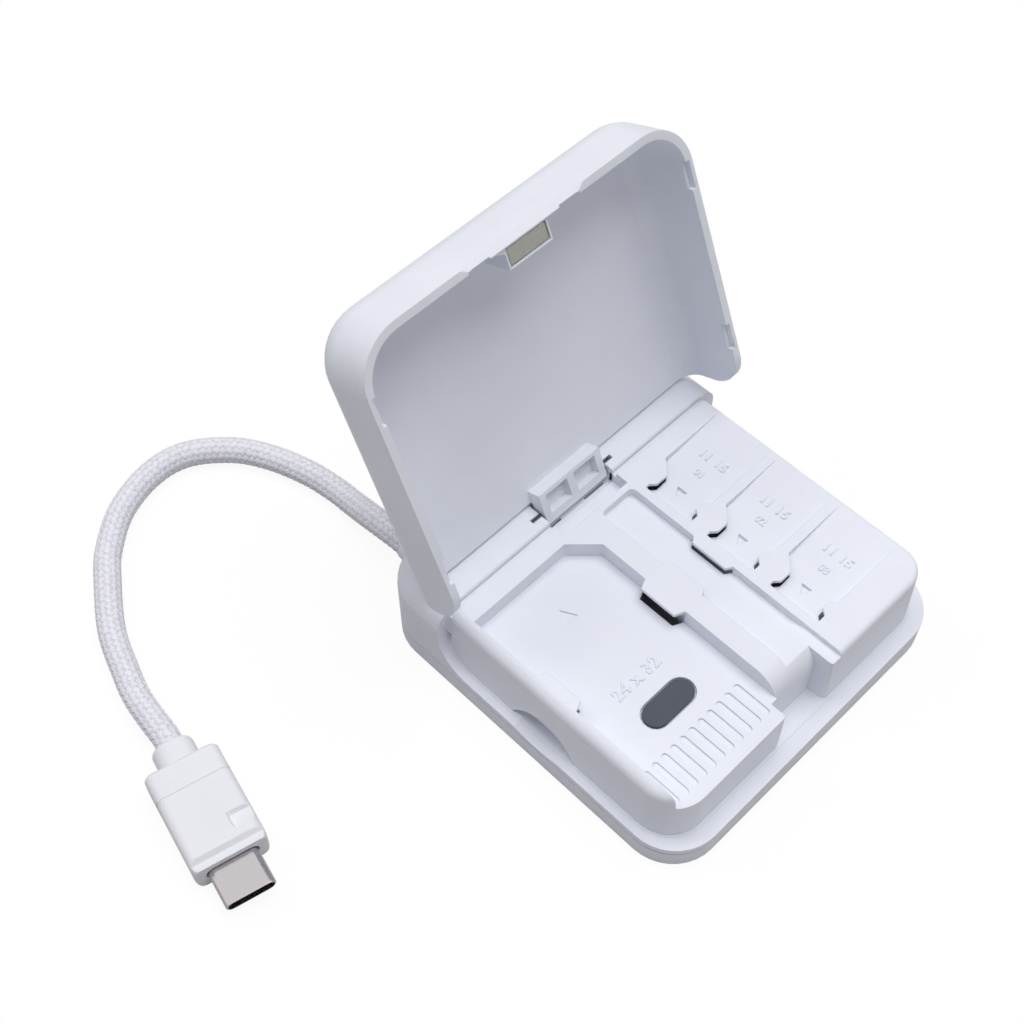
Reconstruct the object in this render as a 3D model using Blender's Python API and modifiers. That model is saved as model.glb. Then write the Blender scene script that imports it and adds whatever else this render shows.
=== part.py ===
"""A small white storage box for memory cards, with a hinged lid and a captive braided cable.

Metres, +Z up. The origin is the middle of the square footprint, on the face that the box rests on.
The front is at -Y, and the hinge beam runs along the rear. The lid is shaped closed, then hung open
on its hinge axis by an empty.
"""

import math

import bmesh
import bpy
from mathutils import Matrix, Vector

# Base plan and heights
BASE_SIDE = 0.0656
BASE_CORNER = 0.0085
COVER_HEIGHT = 0.0038
COVER_EDGE = 0.0003
COVER_WALL = 0.0015
COVER_FLOOR = 0.0018
LEDGE_THICKNESS = 0.00125
DECK_ABOVE_LEDGE = 0.01205
CLEARANCE = 0.0003

# Rear beam
BEAM_DEPTH = 0.01425
BEAM_TOP_FILLET = 0.0042
BEAM_FRONT_BEVEL = 0.0004
BEAM_WALL = 0.0016
CHANNEL_RADIUS = 0.0066

# Card tray
TRAY_RIGHT_STEP = 0.0013
TRAY_FRONT_STEP = 0.0011
TRAY_REAR_GROOVE = 0.0008
TRAY_REAR_GROOVE_DEPTH = 0.0011
TRAY_CORNER_LEFT = 0.0067
TRAY_CORNER_RIGHT = 0.005
TRAY_CORNER_REAR = 0.0015
TRAY_DRAFT = 0.0005
TRAY_WALL = 0.0014
TRAY_FLOOR = 0.0013
TRAY_LEFT_FILLET = 0.0021
TRAY_FRONT_FILLET = 0.001
TRAY_RIGHT_FILLET = 0.0006
TRAY_REAR_FILLET = 0.0004

# Big card pocket
BIG_POCKET_WIDTH = 0.0244
BIG_POCKET_LEFT_WALL = 0.0023
BIG_POCKET_DEPTH = 0.00327
BIG_POCKET_REAR_WALL = 0.00355
BIG_POCKET_CHAMFER = 0.0043
GROOVE_COUNT = 11
GROOVE_PITCH = 0.00205
GROOVE_WIDTH = 0.0011
GROOVE_DEPTH = 0.00035
GROOVE_LENGTH = 0.00695
GROOVE_FROM_FRONT = 0.0025
GROOVE_FROM_DIVIDER = 0.0028
PAD_RADIUS = 0.00215
PAD_STRETCH = 0.0057
PAD_RISE = 0.00015
PAD_RECESS = 0.0006
PAD_FROM_FRONT = 0.0145
ARROW_WIDTH = 0.0029
ARROW_LENGTH = 0.0027
ARROW_DEPTH = 0.0003
ARROW_FROM_REAR = 0.0065

# Clip tabs over the pockets
TAB_THICKNESS = 0.0006
TAB_ROOT = 0.0006
TAB_LENGTH = 0.0089
TAB_SLANT = 0.001
TAB_FROM_REAR = 0.0131
BIG_TAB_REACH = 0.00175
MIDDLE_TAB_REACH = 0.0011
MIDDLE_SMALL_REACH = 0.0012
HOLE_UNDERCUT = 0.0004

# Middle pocket and front finger notch
DIVIDER_WIDTH = 0.0041
MIDDLE_POCKET_WIDTH = 0.0073
MIDDLE_POCKET_DEPTH = 0.0017
MIDDLE_POCKET_CORNER = 0.001
MIDDLE_LIP_DEPTH = 0.001
MIDDLE_RAMP_LENGTH = 0.0034
MIDDLE_RAMP_FROM_FRONT = 0.0073
NOTCH_LEFT = 0.0056
NOTCH_RIGHT = 0.005
NOTCH_DEPTH = 0.0033
NOTCH_ROUND = 0.0012
NOTCH_SLOPE_LENGTH = 0.0046
NOTCH_SLOPE_HEIGHT = 0.0054

# Small card pockets
SMALL_POCKET_COUNT = 3
SMALL_POCKET_PITCH = 0.0131
SMALL_POCKET_WIDTH = 0.0113
SMALL_POCKET_DEPTH = 0.00195
SMALL_POCKET_RAMP = 0.0195
SMALL_DIVIDER = 0.0016
CORNER_TAB_WIDTH = 0.0073
CORNER_TAB_REACH = 0.0025
CORNER_TAB_SIDE = 0.0017
FRONT_TAB_WIDTH = 0.0042
FRONT_TAB_REACH = 0.0011
FRONT_TAB_FROM_WALL = 0.0013
FRONT_TAB_SLANT = 0.0013
FRONT_TAB_GAP = 0.0007
SMALL_ARROW_WIDTH = 0.002
SMALL_ARROW_LENGTH = 0.0017
SMALL_ARROW_FROM_WALL = 0.003

# Side slot for a small card
SCOOP_WIDTH = 0.0132
SCOOP_HEIGHT = 0.0044
SCOOP_FROM_FRONT = 0.0268
SCOOP_BACK_WALL = 0.001
SCOOP_DISH_DEPTH = 0.0007
SCOOP_DISH_RADIUS = 0.016
CARD_SLOT_WIDTH = 0.012
CARD_SLOT_HEIGHT = 0.0012

# Lid
LID_STEP = 0.0001
LID_WALL = 0.0014
LID_TOP_FILLET = 0.00625
LID_INSIDE_FILLET = 0.0032
LID_PLATE = 0.00155
LID_OVER_DECK = 0.00035
LID_REAR_FILLET = 0.0008
LID_OPEN_ANGLE = math.radians(113.6)
THUMB_WIDTH = 0.0231
THUMB_DEPTH = 0.0012
THUMB_HEIGHT = 0.0011
THUMB_END = 0.0012
RELIEF_DEPTH = 0.0007
RELIEF_HEIGHT = 0.001
SIDE_RELIEF_LENGTH = 0.0048
SIDE_RELIEF_FROM_FRONT = 0.0105
SIDE_RELIEF_FROM_REAR = 0.01055
FRONT_RELIEF_LENGTH = 0.0041
FRONT_RELIEF_OFFSET = 0.0089

# Hinge
AXIS_BEHIND_BEAM = 0.00235
AXIS_BELOW_DECK = 0.0011
KNUCKLE_WIDTH = 0.0139
KNUCKLE_FORWARD = 0.0049
KNUCKLE_BACK = 0.0012
KNUCKLE_BELOW = 0.0012
KNUCKLE_CHAMFER = 0.00055
KNUCKLE_WEB = 0.0016
KNUCKLE_SKIN = 0.00135
KNUCKLE_POCKET_DEPTH = 0.0016
KNUCKLE_FRONT_WALL = 0.0008
NOTCH_SIDE_GAP = 0.0004
HINGE_NOTCH_DEPTH = 0.0031
HINGE_NOTCH_LENGTH = 0.00495
PIN_RADIUS = 0.0005
PIN_HOLE_DEPTH_LID = 0.00095
PIN_HOLE_DEPTH_BEAM = 0.00195
PIN_ENTRY_WIDTH = 0.0008
SLOT_WIDTH = 0.0007
SLOT_DEPTH = 0.006

# Magnets
MAGNET_WIDTH = 0.0076
MAGNET_DEPTH = 0.0028
MAGNET_HEIGHT = 0.002
HOLDER_WALL = 0.0005
HOLDER_FLARE = 0.0027
HOLDER_ABOVE_LEDGE = 0.0007
MAGNET_CENTRE_X = 0.0002

# Electronics
BOARD_LENGTH = 0.0205
BOARD_WIDTH = 0.027
BOARD_THICKNESS = 0.001
BOARD_HEIGHT = 0.0058
BOARD_POST_RADIUS = 0.0015
BOARD_EDGE = 0.001
SOCKET_LENGTH = 0.0145
SOCKET_WIDTH = 0.0142
SOCKET_HEIGHT = 0.0019
SOCKET_SLOT_WIDTH = 0.0114
SOCKET_SLOT_HEIGHT = 0.0008
SOCKET_SLOT_DEPTH = 0.0125
CHIP_LENGTH = 0.006
CHIP_WIDTH = 0.0054
CHIP_HEIGHT = 0.0009

# Cover screws
SCREW_FROM_SIDE = 0.009
SCREW_FROM_FRONT = 0.0113
SCREW_FROM_REAR = 0.0071
SCREW_HEAD_RADIUS = 0.002
SCREW_HEAD_HEIGHT = 0.0012
SCREW_SHANK_RADIUS = 0.001
SCREW_LENGTH = 0.0085
SCREW_RECESS = 0.0003
BOSS_RADIUS = 0.0034
POST_RADIUS = 0.0025
DRIVE_WIDTH = 0.0006
DRIVE_DEPTH = 0.0006
DRIVE_LENGTH = 0.0023

# Cable and its gland
CABLE_DIAMETER = 0.0047
CABLE_EXIT_FROM_SIDE = 0.0105
CABLE_EXIT_HEIGHT = 0.0076
CABLE_LEAD_SHARE = 0.35
CABLE_SPACING_SHARE = 1.5
GLAND_RADIUS = 0.0028
GLAND_TIP_RADIUS = 0.0025
GLAND_FLANGE_RADIUS = 0.0034
GLAND_FLANGE = 0.001
GLAND_LENGTH = 0.0038
CORD_STEPS = 15
CORD_ROUTE = (
    (-0.0223, 0.0446, 0.0065),
    (-0.0217, 0.0486, 0.0044),
    (-0.0213, 0.0524, 0.0029),
    (-0.0213, 0.0564, 0.00237),
    (-0.0223, 0.0625, 0.00237),
    (-0.0249, 0.0700, 0.00237),
    (-0.0288, 0.0761, 0.00237),
    (-0.0352, 0.0810, 0.00237),
    (-0.0423, 0.0819, 0.00237),
    (-0.0503, 0.0795, 0.00237),
    (-0.0569, 0.0745, 0.00237),
    (-0.0606, 0.0700, 0.00237),
    (-0.0661, 0.0617, 0.00237),
    (-0.0691, 0.0542, 0.00242),
    (-0.0710, 0.0480, 0.0028),
)

# Plug
PLUG_X = -0.0761
PLUG_Y = 0.0234
PLUG_TURN = math.radians(166.2)
PLUG_WIDTH = 0.0124
PLUG_THICKNESS = 0.0068
PLUG_REAR = 0.0105
PLUG_FRONT = 0.0076
PLUG_CAP_LENGTH = 0.0049
PLUG_ROUND = 0.0016
PLUG_TAPER = 0.0008
PLUG_NOSE = 0.001
PLUG_CAP_EDGE = 0.0004
PLUG_STEP = 0.0007
PLUG_STEP_LENGTH = 0.0019
PLUG_NICK_SIDE = 0.002
PLUG_NICK_DEPTH = 0.0007
PLUG_NICK_WALL = 0.0005
PLUG_NICK_LENGTH = 0.0035
PLUG_NICK_FROM_FRONT = 0.0062
BOOT_WIDTH = 0.0069
BOOT_LENGTH = 0.0038
BOOT_RADIUS = 0.003
BOOT_EDGE = 0.0007
SHELL_WIDTH = 0.0083
SHELL_THICKNESS = 0.0025
SHELL_LENGTH = 0.0062
SHELL_WALL = 0.0003
SHELL_SEAT = 0.0012
TONGUE_WIDTH = 0.0064
TONGUE_THICKNESS = 0.0007
TONGUE_LENGTH = 0.0046

OVERRUN = 0.01
CORNER_STEPS = 9
FILLET_STEPS = 7
ROUND_STEPS = 32
TUBE_STEPS = 3
PLUG_CORNER_STEPS = 6
EDGE_STEPS = 4
MERGE_DISTANCE = 0.000003
NEARLY_ROUND_SHARE = 0.999

# Places that follow from the sizes above
HALF = BASE_SIDE / 2
HOUSING_BOTTOM = COVER_HEIGHT + CLEARANCE
LEDGE = HOUSING_BOTTOM + LEDGE_THICKNESS
DECK = LEDGE + DECK_ABOVE_LEDGE
BEAM_FRONT = HALF - BEAM_DEPTH
CHANNEL_Y = BEAM_FRONT - CHANNEL_RADIUS
CHANNEL_Z = LEDGE + CHANNEL_RADIUS
TRAY_LEFT = -HALF + LID_STEP + LID_WALL + CLEARANCE
TRAY_RIGHT = -TRAY_LEFT - TRAY_RIGHT_STEP
TRAY_FRONT = TRAY_LEFT + TRAY_FRONT_STEP
TRAY_REAR = BEAM_FRONT - TRAY_REAR_GROOVE
TRAY_BACK = BEAM_FRONT - CLEARANCE / 2
TRAY_BOTTOM = COVER_FLOOR + CLEARANCE
TAB_BOTTOM = DECK - TAB_THICKNESS
BIG_LEFT = TRAY_LEFT + BIG_POCKET_LEFT_WALL
BIG_RIGHT = BIG_LEFT + BIG_POCKET_WIDTH
BIG_REAR = TRAY_REAR - BIG_POCKET_REAR_WALL
BIG_FLOOR = DECK - BIG_POCKET_DEPTH
TAB_START = BIG_REAR - TAB_FROM_REAR
MIDDLE_LEFT = BIG_RIGHT + DIVIDER_WIDTH
MIDDLE_RIGHT = MIDDLE_LEFT + MIDDLE_POCKET_WIDTH
MIDDLE_FLOOR = DECK - MIDDLE_POCKET_DEPTH
SMALL_LEFT = MIDDLE_RIGHT + SMALL_DIVIDER
TRAY_CEILING = BIG_FLOOR - TRAY_FLOOR
NOTCH_REAR = TRAY_FRONT + NOTCH_DEPTH
NOTCH_SLOPE_REAR = NOTCH_REAR + NOTCH_SLOPE_LENGTH
AXIS = Vector((0, BEAM_FRONT + AXIS_BEHIND_BEAM, DECK - AXIS_BELOW_DECK))
LID_HALF = HALF - LID_STEP
LID_RIM = LEDGE + CLEARANCE
LID_INSIDE_TOP = DECK + LID_OVER_DECK
LID_TOP = LID_INSIDE_TOP + LID_PLATE
LID_REAR = BEAM_FRONT - CLEARANCE
SIDE_RELIEF_FRONT = SIDE_RELIEF_FROM_FRONT - LID_HALF
SIDE_RELIEF_REAR = LID_REAR - SIDE_RELIEF_FROM_REAR
PIN_HOLE_RADIUS = PIN_RADIUS + CLEARANCE
CHEEK = KNUCKLE_WIDTH / 2 + NOTCH_SIDE_GAP
HOLDER_BOTTOM = LEDGE + HOLDER_ABOVE_LEDGE
MAGNET_Y = -LID_HALF + LID_WALL + MAGNET_DEPTH / 2 + HOLDER_WALL
SCREW_X = HALF - SCREW_FROM_SIDE
SCREW_FRONT_Y = SCREW_FROM_FRONT - HALF
SCREW_REAR_Y = HALF - SCREW_FROM_REAR
SCREW_PLACES = (
    (-SCREW_X, SCREW_FRONT_Y),
    (SCREW_X, SCREW_FRONT_Y),
    (SCREW_X, SCREW_REAR_Y),
    (-SCREW_X, SCREW_REAR_Y),
)
SCREW_HOLE_RADIUS = SCREW_SHANK_RADIUS + CLEARANCE
SCREW_HOLE_TOP = SCREW_RECESS + SCREW_LENGTH + CLEARANCE
SCOOP_BACK = TRAY_LEFT + TRAY_WALL + TRAY_DRAFT
SCOOP_RADIUS = (SCOOP_WIDTH**2 / 4 + SCOOP_HEIGHT**2) / (SCOOP_HEIGHT * 2)
BOARD_LEFT = SCOOP_BACK + SCOOP_BACK_WALL + CLEARANCE
SCOOP_CENTRE_Y = TRAY_FRONT + SCOOP_FROM_FRONT
BOARD_MIDDLE_Y = SCOOP_CENTRE_Y
BOARD_TOP = BOARD_HEIGHT + BOARD_THICKNESS
SOCKET_BOTTOM = BOARD_TOP + CLEARANCE
SOCKET_MIDDLE = SOCKET_BOTTOM + SOCKET_HEIGHT / 2
CABLE_RADIUS = CABLE_DIAMETER / 2
CABLE_EXIT_X = CABLE_EXIT_FROM_SIDE - HALF
GLAND_HOLE_RADIUS = GLAND_RADIUS + CLEARANCE
PLUG_AXIS_HEIGHT = PLUG_THICKNESS / 2


def clear_scene():
    for old in list(bpy.data.objects):
        bpy.data.objects.remove(old, do_unlink=True)


def new_collection(name, hidden):
    made = bpy.data.collections.new(name)
    made.hide_render = hidden
    bpy.context.scene.collection.children.link(made)
    return made


clear_scene()
PARTS = new_collection("card_storage_box", False)
CUTTERS = new_collection("cutters", True)


def material(name, colour, roughness, metallic=0):
    made = bpy.data.materials.new(name)
    made.use_nodes = True
    shader = made.node_tree.nodes["Principled BSDF"]
    shader.inputs["Base Color"].default_value = (*colour, 1)
    shader.inputs["Roughness"].default_value = roughness
    shader.inputs["Metallic"].default_value = metallic
    made.diffuse_color = (*colour, 1)
    return made


# Outlines


def arc(centre, radius, start, end, steps):
    """Points on an arc from the start angle to the end angle, in degrees, both ends included."""
    points = []
    for i in range(steps + 1):
        angle = math.radians(start + (end - start) * i / steps)
        points.append((centre[0] + radius * math.cos(angle), centre[1] + radius * math.sin(angle)))
    return points


def rounded(left, right, front, rear, radii, steps=CORNER_STEPS):
    """A rectangle with round corners: front left, front right, rear right, rear left."""
    front_left, front_right, rear_right, rear_left = radii
    return (
        arc((left + front_left, front + front_left), front_left, 180, 270, steps)
        + arc((right - front_right, front + front_right), front_right, 270, 360, steps)
        + arc((right - rear_right, rear - rear_right), rear_right, 0, 90, steps)
        + arc((left + rear_left, rear - rear_left), rear_left, 90, 180, steps)
    )


def stadium(centre, stretch, radius, steps=CORNER_STEPS):
    """A slot outline with round ends, long along X."""
    x, y = centre
    right = arc((x + stretch / 2, y), radius, -90, 90, steps)
    return right + arc((x - stretch / 2, y), radius, 90, 270, steps)


def box_outline(left, right, front, rear):
    return [(left, front), (right, front), (right, rear), (left, rear)]


# Solids in a bmesh


def place(point, axis, level):
    """A point of an outline in space: (x, y) for Z, (y, z) for X and (x, z) for Y."""
    a, b = point
    return {"Z": (a, b, level), "X": (level, a, b), "Y": (a, level, b)}[axis]


def add_prism(bm, outline, low, high, axis="Z"):
    face = bm.faces.new([bm.verts.new(place(point, axis, low)) for point in outline])
    grown = bmesh.ops.extrude_face_region(bm, geom=[face])["geom"]
    moved = [item for item in grown if isinstance(item, bmesh.types.BMVert)]
    bmesh.ops.translate(bm, verts=moved, vec=Vector(place((0, 0), axis, high - low)))


def add_loft(bm, rings):
    """A closed skin through rings of the same count of points."""
    loops = [[bm.verts.new(point) for point in ring] for ring in rings]
    for below, above in zip(loops, loops[1:]):
        for i in range(len(below)):
            following = (i + 1) % len(below)
            bm.faces.new((below[i], below[following], above[following], above[i]))
    bm.faces.new(list(reversed(loops[0])))
    bm.faces.new(loops[-1])


def add_rod(bm, centre, radius, low, high, axis="Z", steps=ROUND_STEPS, end_radius=None):
    """A cylinder or cone along an axis, its ends at low and high."""
    turns = {
        "Z": Matrix(),
        "X": Matrix.Rotation(math.pi / 2, 4, "Y"),
        "Y": Matrix.Rotation(-math.pi / 2, 4, "X"),
    }
    middle = Vector(place(centre, axis, (low + high) / 2))
    bmesh.ops.create_cone(
        bm,
        cap_ends=True,
        segments=steps,
        radius1=radius,
        radius2=radius if end_radius is None else end_radius,
        depth=high - low,
        matrix=Matrix.Translation(middle) @ turns[axis],
    )


# Objects


def make_object(name, bm, collection, parent=None, shift=None):
    if shift is not None:
        bmesh.ops.translate(bm, verts=bm.verts, vec=shift)
    bmesh.ops.recalc_face_normals(bm, faces=bm.faces)
    mesh = bpy.data.meshes.new(name)
    bm.to_mesh(mesh)
    bm.free()
    made = bpy.data.objects.new(name, mesh)
    collection.objects.link(made)
    made.parent = parent
    return made


def make_part(name, bm, finish, parent=None, shift=None):
    made = make_object(name, bm, PARTS, parent, shift)
    made.data.materials.append(finish)
    made.data.shade_smooth()
    made.data.set_sharp_from_angle(angle=math.radians(30))
    return made


def make_cutter(name, bm, parent=None, shift=None):
    made = make_object(name, bm, CUTTERS, parent, shift)
    made.hide_render = True
    made.display_type = "WIRE"
    return made


def boolean(target, tool, operation):
    modifier = target.modifiers.new(f"{operation.lower()} {tool.name}", "BOOLEAN")
    modifier.operation = operation
    modifier.solver = "EXACT"
    modifier.object = tool


def cut(target, tool):
    boolean(target, tool, "DIFFERENCE")


def join(target, tool):
    boolean(target, tool, "UNION")


def fillet_inset(radius, below_top):
    """How far a top edge fillet draws the outline in, at a depth below the top."""
    if below_top >= radius:
        return 0
    return radius - math.sqrt(radius**2 - (radius - below_top) ** 2)


def fillet_levels(top, radius, steps=FILLET_STEPS):
    """Heights through a top edge fillet, from its lower end to the top."""
    return [top - radius + radius * math.sin(math.pi / 2 * i / steps) for i in range(steps + 1)]


def square_ring(half, corner, z):
    return [(x, y, z) for x, y in rounded(-half, half, -half, half, (corner,) * 4)]


# Base housing


def channel_outline(radius, bevel, low, top):
    """The space ahead of the beam and above the ledge, as (y, z): round at the foot of the beam."""
    front = -HALF - OVERRUN
    curve = arc((CHANNEL_Y, CHANNEL_Z), radius, 270, 360, CORNER_STEPS)
    face = CHANNEL_Y + radius
    edge = [(face, top - bevel), (face + bevel, top), (face + bevel, top + OVERRUN)]
    return [(front, low)] + curve + edge + [(front, top + OVERRUN)]


def notch_outline(grow):
    """The finger notch in the front of the tray, as (x, y)."""
    left, right = -NOTCH_LEFT - grow, NOTCH_RIGHT + grow
    rear = NOTCH_REAR + grow
    round_radius = NOTCH_ROUND - grow
    front = TRAY_FRONT + NOTCH_ROUND
    out = TRAY_FRONT - OVERRUN
    return (
        [(right, rear), (left, rear)]
        + arc((left - round_radius, front), round_radius, 0, -90, FILLET_STEPS)
        + [(left - round_radius, out), (right + round_radius, out)]
        + arc((right + round_radius, front), round_radius, 270, 180, FILLET_STEPS)
    )


def tray_outline(grow):
    """The tray's outline below the deck, reaching back to the beam."""
    radii = (TRAY_CORNER_LEFT, TRAY_CORNER_RIGHT, TRAY_CORNER_REAR, TRAY_CORNER_REAR)
    return rounded(
        TRAY_LEFT - grow,
        TRAY_RIGHT + grow,
        TRAY_FRONT - grow,
        TRAY_BACK + grow,
        [radius + grow for radius in radii],
    )


def beam_cavity_outline(side):
    """The hollow of the beam on one side of the hinge, open below."""
    inner = CHEEK + PIN_HOLE_DEPTH_BEAM + KNUCKLE_SKIN
    outer = HALF - BEAM_WALL
    front = BEAM_FRONT + BEAM_WALL
    rear = HALF - BEAM_WALL
    corner = BASE_CORNER - BEAM_WALL
    tight = BEAM_WALL / 2
    if side > 0:
        return rounded(inner, outer, front, rear, (tight, tight, corner, tight))
    return rounded(-outer, -inner, front, rear, (tight, tight, tight, corner))


def housing(finish):
    bm = bmesh.new()
    rings = [square_ring(HALF, BASE_CORNER, HOUSING_BOTTOM), square_ring(HALF, BASE_CORNER, LEDGE)]
    for z in fillet_levels(DECK, BEAM_TOP_FILLET):
        inset = fillet_inset(BEAM_TOP_FILLET, DECK - z)
        rings.append(square_ring(HALF - inset, BASE_CORNER - inset, z))
    add_loft(bm, rings)
    body = make_part("base_housing", bm, finish)

    bm = bmesh.new()
    outline = channel_outline(CHANNEL_RADIUS, BEAM_FRONT_BEVEL, LEDGE, DECK)
    add_prism(bm, outline, -HALF - OVERRUN, HALF + OVERRUN, "X")
    cut(body, make_cutter("channel_cutter", bm))

    bm = bmesh.new()
    add_prism(bm, tray_outline(CLEARANCE), -OVERRUN, DECK + OVERRUN)
    opening = make_cutter("tray_opening_cutter", bm)
    bm = bmesh.new()
    add_prism(bm, notch_outline(-CLEARANCE), -OVERRUN * 2, DECK + OVERRUN * 2)
    half = SCOOP_WIDTH / 2 - CLEARANCE
    outline = box_outline(
        -HALF, SCOOP_BACK - CLEARANCE, SCOOP_CENTRE_Y - half, SCOOP_CENTRE_Y + half
    )
    add_prism(bm, outline, -OVERRUN * 2, DECK + OVERRUN * 2)
    cut(opening, make_cutter("ledge_keeper", bm))
    cut(body, opening)

    bm = bmesh.new()
    for side in (-1, 1):
        add_prism(bm, beam_cavity_outline(side), -OVERRUN, DECK - BEAM_WALL)
    cut(body, make_cutter("beam_cavity_cutter", bm))

    bm = bmesh.new()
    for x, y in SCREW_PLACES[2:]:
        add_rod(bm, (x, y), POST_RADIUS, HOUSING_BOTTOM, DECK - BEAM_WALL / 2)
    join(body, make_cutter("rear_posts", bm))

    bm = bmesh.new()
    floor = DECK - HINGE_NOTCH_DEPTH
    outline = box_outline(-CHEEK, CHEEK, TRAY_REAR, BEAM_FRONT + HINGE_NOTCH_LENGTH)
    add_prism(bm, outline, floor, DECK + OVERRUN)
    cut(body, make_cutter("hinge_notch_cutter", bm))

    bm = bmesh.new()
    for x, y in SCREW_PLACES[2:]:
        add_rod(bm, (x, y), SCREW_HOLE_RADIUS, -OVERRUN, SCREW_HOLE_TOP)
    for side in (-1, 1):
        ends = sorted((side * KNUCKLE_WIDTH / 2, side * (CHEEK + PIN_HOLE_DEPTH_BEAM)))
        add_rod(bm, AXIS.yz, PIN_HOLE_RADIUS, *ends, "X", ROUND_STEPS // 2)
    centre = (CABLE_EXIT_X, CABLE_EXIT_HEIGHT)
    add_rod(bm, centre, GLAND_HOLE_RADIUS, HALF - BEAM_WALL * 2, HALF + OVERRUN, "Y")
    for left, right in slot_ends():
        front = BEAM_FRONT + BEAM_FRONT_BEVEL
        outline = box_outline(left, right, front, front + SLOT_WIDTH)
        add_prism(bm, outline, floor - SLOT_DEPTH, floor + SLOT_WIDTH)
    cut(body, make_cutter("housing_holes", bm))

    bm = bmesh.new()
    half = PIN_ENTRY_WIDTH / 2
    for side in (-1, 1):
        ends = sorted((side * KNUCKLE_WIDTH / 2, side * (CHEEK + PIN_HOLE_DEPTH_BEAM)))
        add_prism(bm, box_outline(*ends, AXIS.y - half, AXIS.y + half), AXIS.z, DECK + OVERRUN)
    cut(body, make_cutter("pin_entry_cutter", bm))

    bm = bmesh.new()
    centre = (SCOOP_CENTRE_Y, LEDGE - SCOOP_DISH_DEPTH + SCOOP_DISH_RADIUS)
    add_rod(bm, centre, SCOOP_DISH_RADIUS, -HALF - OVERRUN, SCOOP_BACK, "X", ROUND_STEPS * 2)
    cut(body, make_cutter("ledge_dish_cutter", bm))
    return body


def slot_ends():
    """The two narrow slots in the floor of the hinge notch."""
    inner = KNUCKLE_WIDTH / 2 - KNUCKLE_SKIN
    return ((-inner - KNUCKLE_SKIN / 2, -inner + KNUCKLE_WEB), (KNUCKLE_WEB, inner + KNUCKLE_SKIN / 3))


# Bottom cover


def bottom_cover(finish):
    bm = bmesh.new()
    foot = HALF - COVER_EDGE
    rings = [
        square_ring(foot, BASE_CORNER - COVER_EDGE, 0),
        square_ring(HALF, BASE_CORNER, COVER_EDGE),
        square_ring(HALF, BASE_CORNER, COVER_HEIGHT),
    ]
    add_loft(bm, rings)
    body = make_part("bottom_cover", bm, finish)

    bm = bmesh.new()
    inside = HALF - COVER_WALL
    corner = BASE_CORNER - COVER_WALL
    top = COVER_HEIGHT + OVERRUN
    add_loft(bm, [square_ring(inside, corner, COVER_FLOOR), square_ring(inside, corner, top)])
    cut(body, make_cutter("cover_recess_cutter", bm))

    bm = bmesh.new()
    for x, y in SCREW_PLACES:
        add_rod(bm, (x, y), BOSS_RADIUS, COVER_FLOOR / 2, COVER_HEIGHT)
    top = BOARD_HEIGHT - CLEARANCE
    for x, y in board_posts():
        add_rod(bm, (x, y), BOARD_POST_RADIUS, COVER_FLOOR / 2, top, steps=ROUND_STEPS // 2)
    join(body, make_cutter("cover_bosses", bm))

    bm = bmesh.new()
    head_top = SCREW_RECESS + SCREW_HEAD_HEIGHT + CLEARANCE
    for x, y in SCREW_PLACES:
        add_rod(bm, (x, y), SCREW_HEAD_RADIUS + CLEARANCE, -OVERRUN, head_top)
    cut(body, make_cutter("screw_head_cutters", bm))

    bm = bmesh.new()
    for x, y in SCREW_PLACES:
        add_rod(bm, (x, y), SCREW_HOLE_RADIUS, head_top / 2, COVER_HEIGHT + OVERRUN)
    cut(body, make_cutter("screw_shank_cutters", bm))
    return body


def screw(index, x, y, finish):
    """A countersunk seat screw, upside down, with its head in the cover. Turned from its profile."""
    top = SCREW_LENGTH
    taper = SCREW_SHANK_RADIUS
    profile = [
        (0, 0),
        (SCREW_HEAD_RADIUS, 0),
        (SCREW_HEAD_RADIUS, SCREW_HEAD_HEIGHT),
        (SCREW_SHANK_RADIUS, SCREW_HEAD_HEIGHT),
        (SCREW_SHANK_RADIUS, top - taper),
        (0, top),
    ]
    bm = bmesh.new()
    verts = [bm.verts.new((r, 0, z)) for r, z in profile]
    for a, b in zip(verts, verts[1:]):
        bm.edges.new((a, b))
    bmesh.ops.spin(
        bm,
        geom=bm.verts[:] + bm.edges[:],
        axis=(0, 0, 1),
        cent=(0, 0, 0),
        angle=2 * math.pi,
        steps=ROUND_STEPS // 2,
        use_merge=True,
    )
    bmesh.ops.remove_doubles(bm, verts=bm.verts, dist=MERGE_DISTANCE)
    made = make_part(f"cover_screw_{index}", bm, finish)
    made.location = (x, y, SCREW_RECESS)

    bm = bmesh.new()
    half, reach = DRIVE_WIDTH / 2, DRIVE_LENGTH / 2
    cross = [
        (half, half), (half, reach), (-half, reach), (-half, half), (-reach, half), (-reach, -half),
        (-half, -half), (-half, -reach), (half, -reach), (half, -half), (reach, -half), (reach, half),
    ]
    add_prism(bm, cross, -OVERRUN, DRIVE_DEPTH)
    drive = make_cutter(f"screw_drive_{index}", bm)
    drive.location = made.location
    cut(made, drive)


# Card tray


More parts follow.
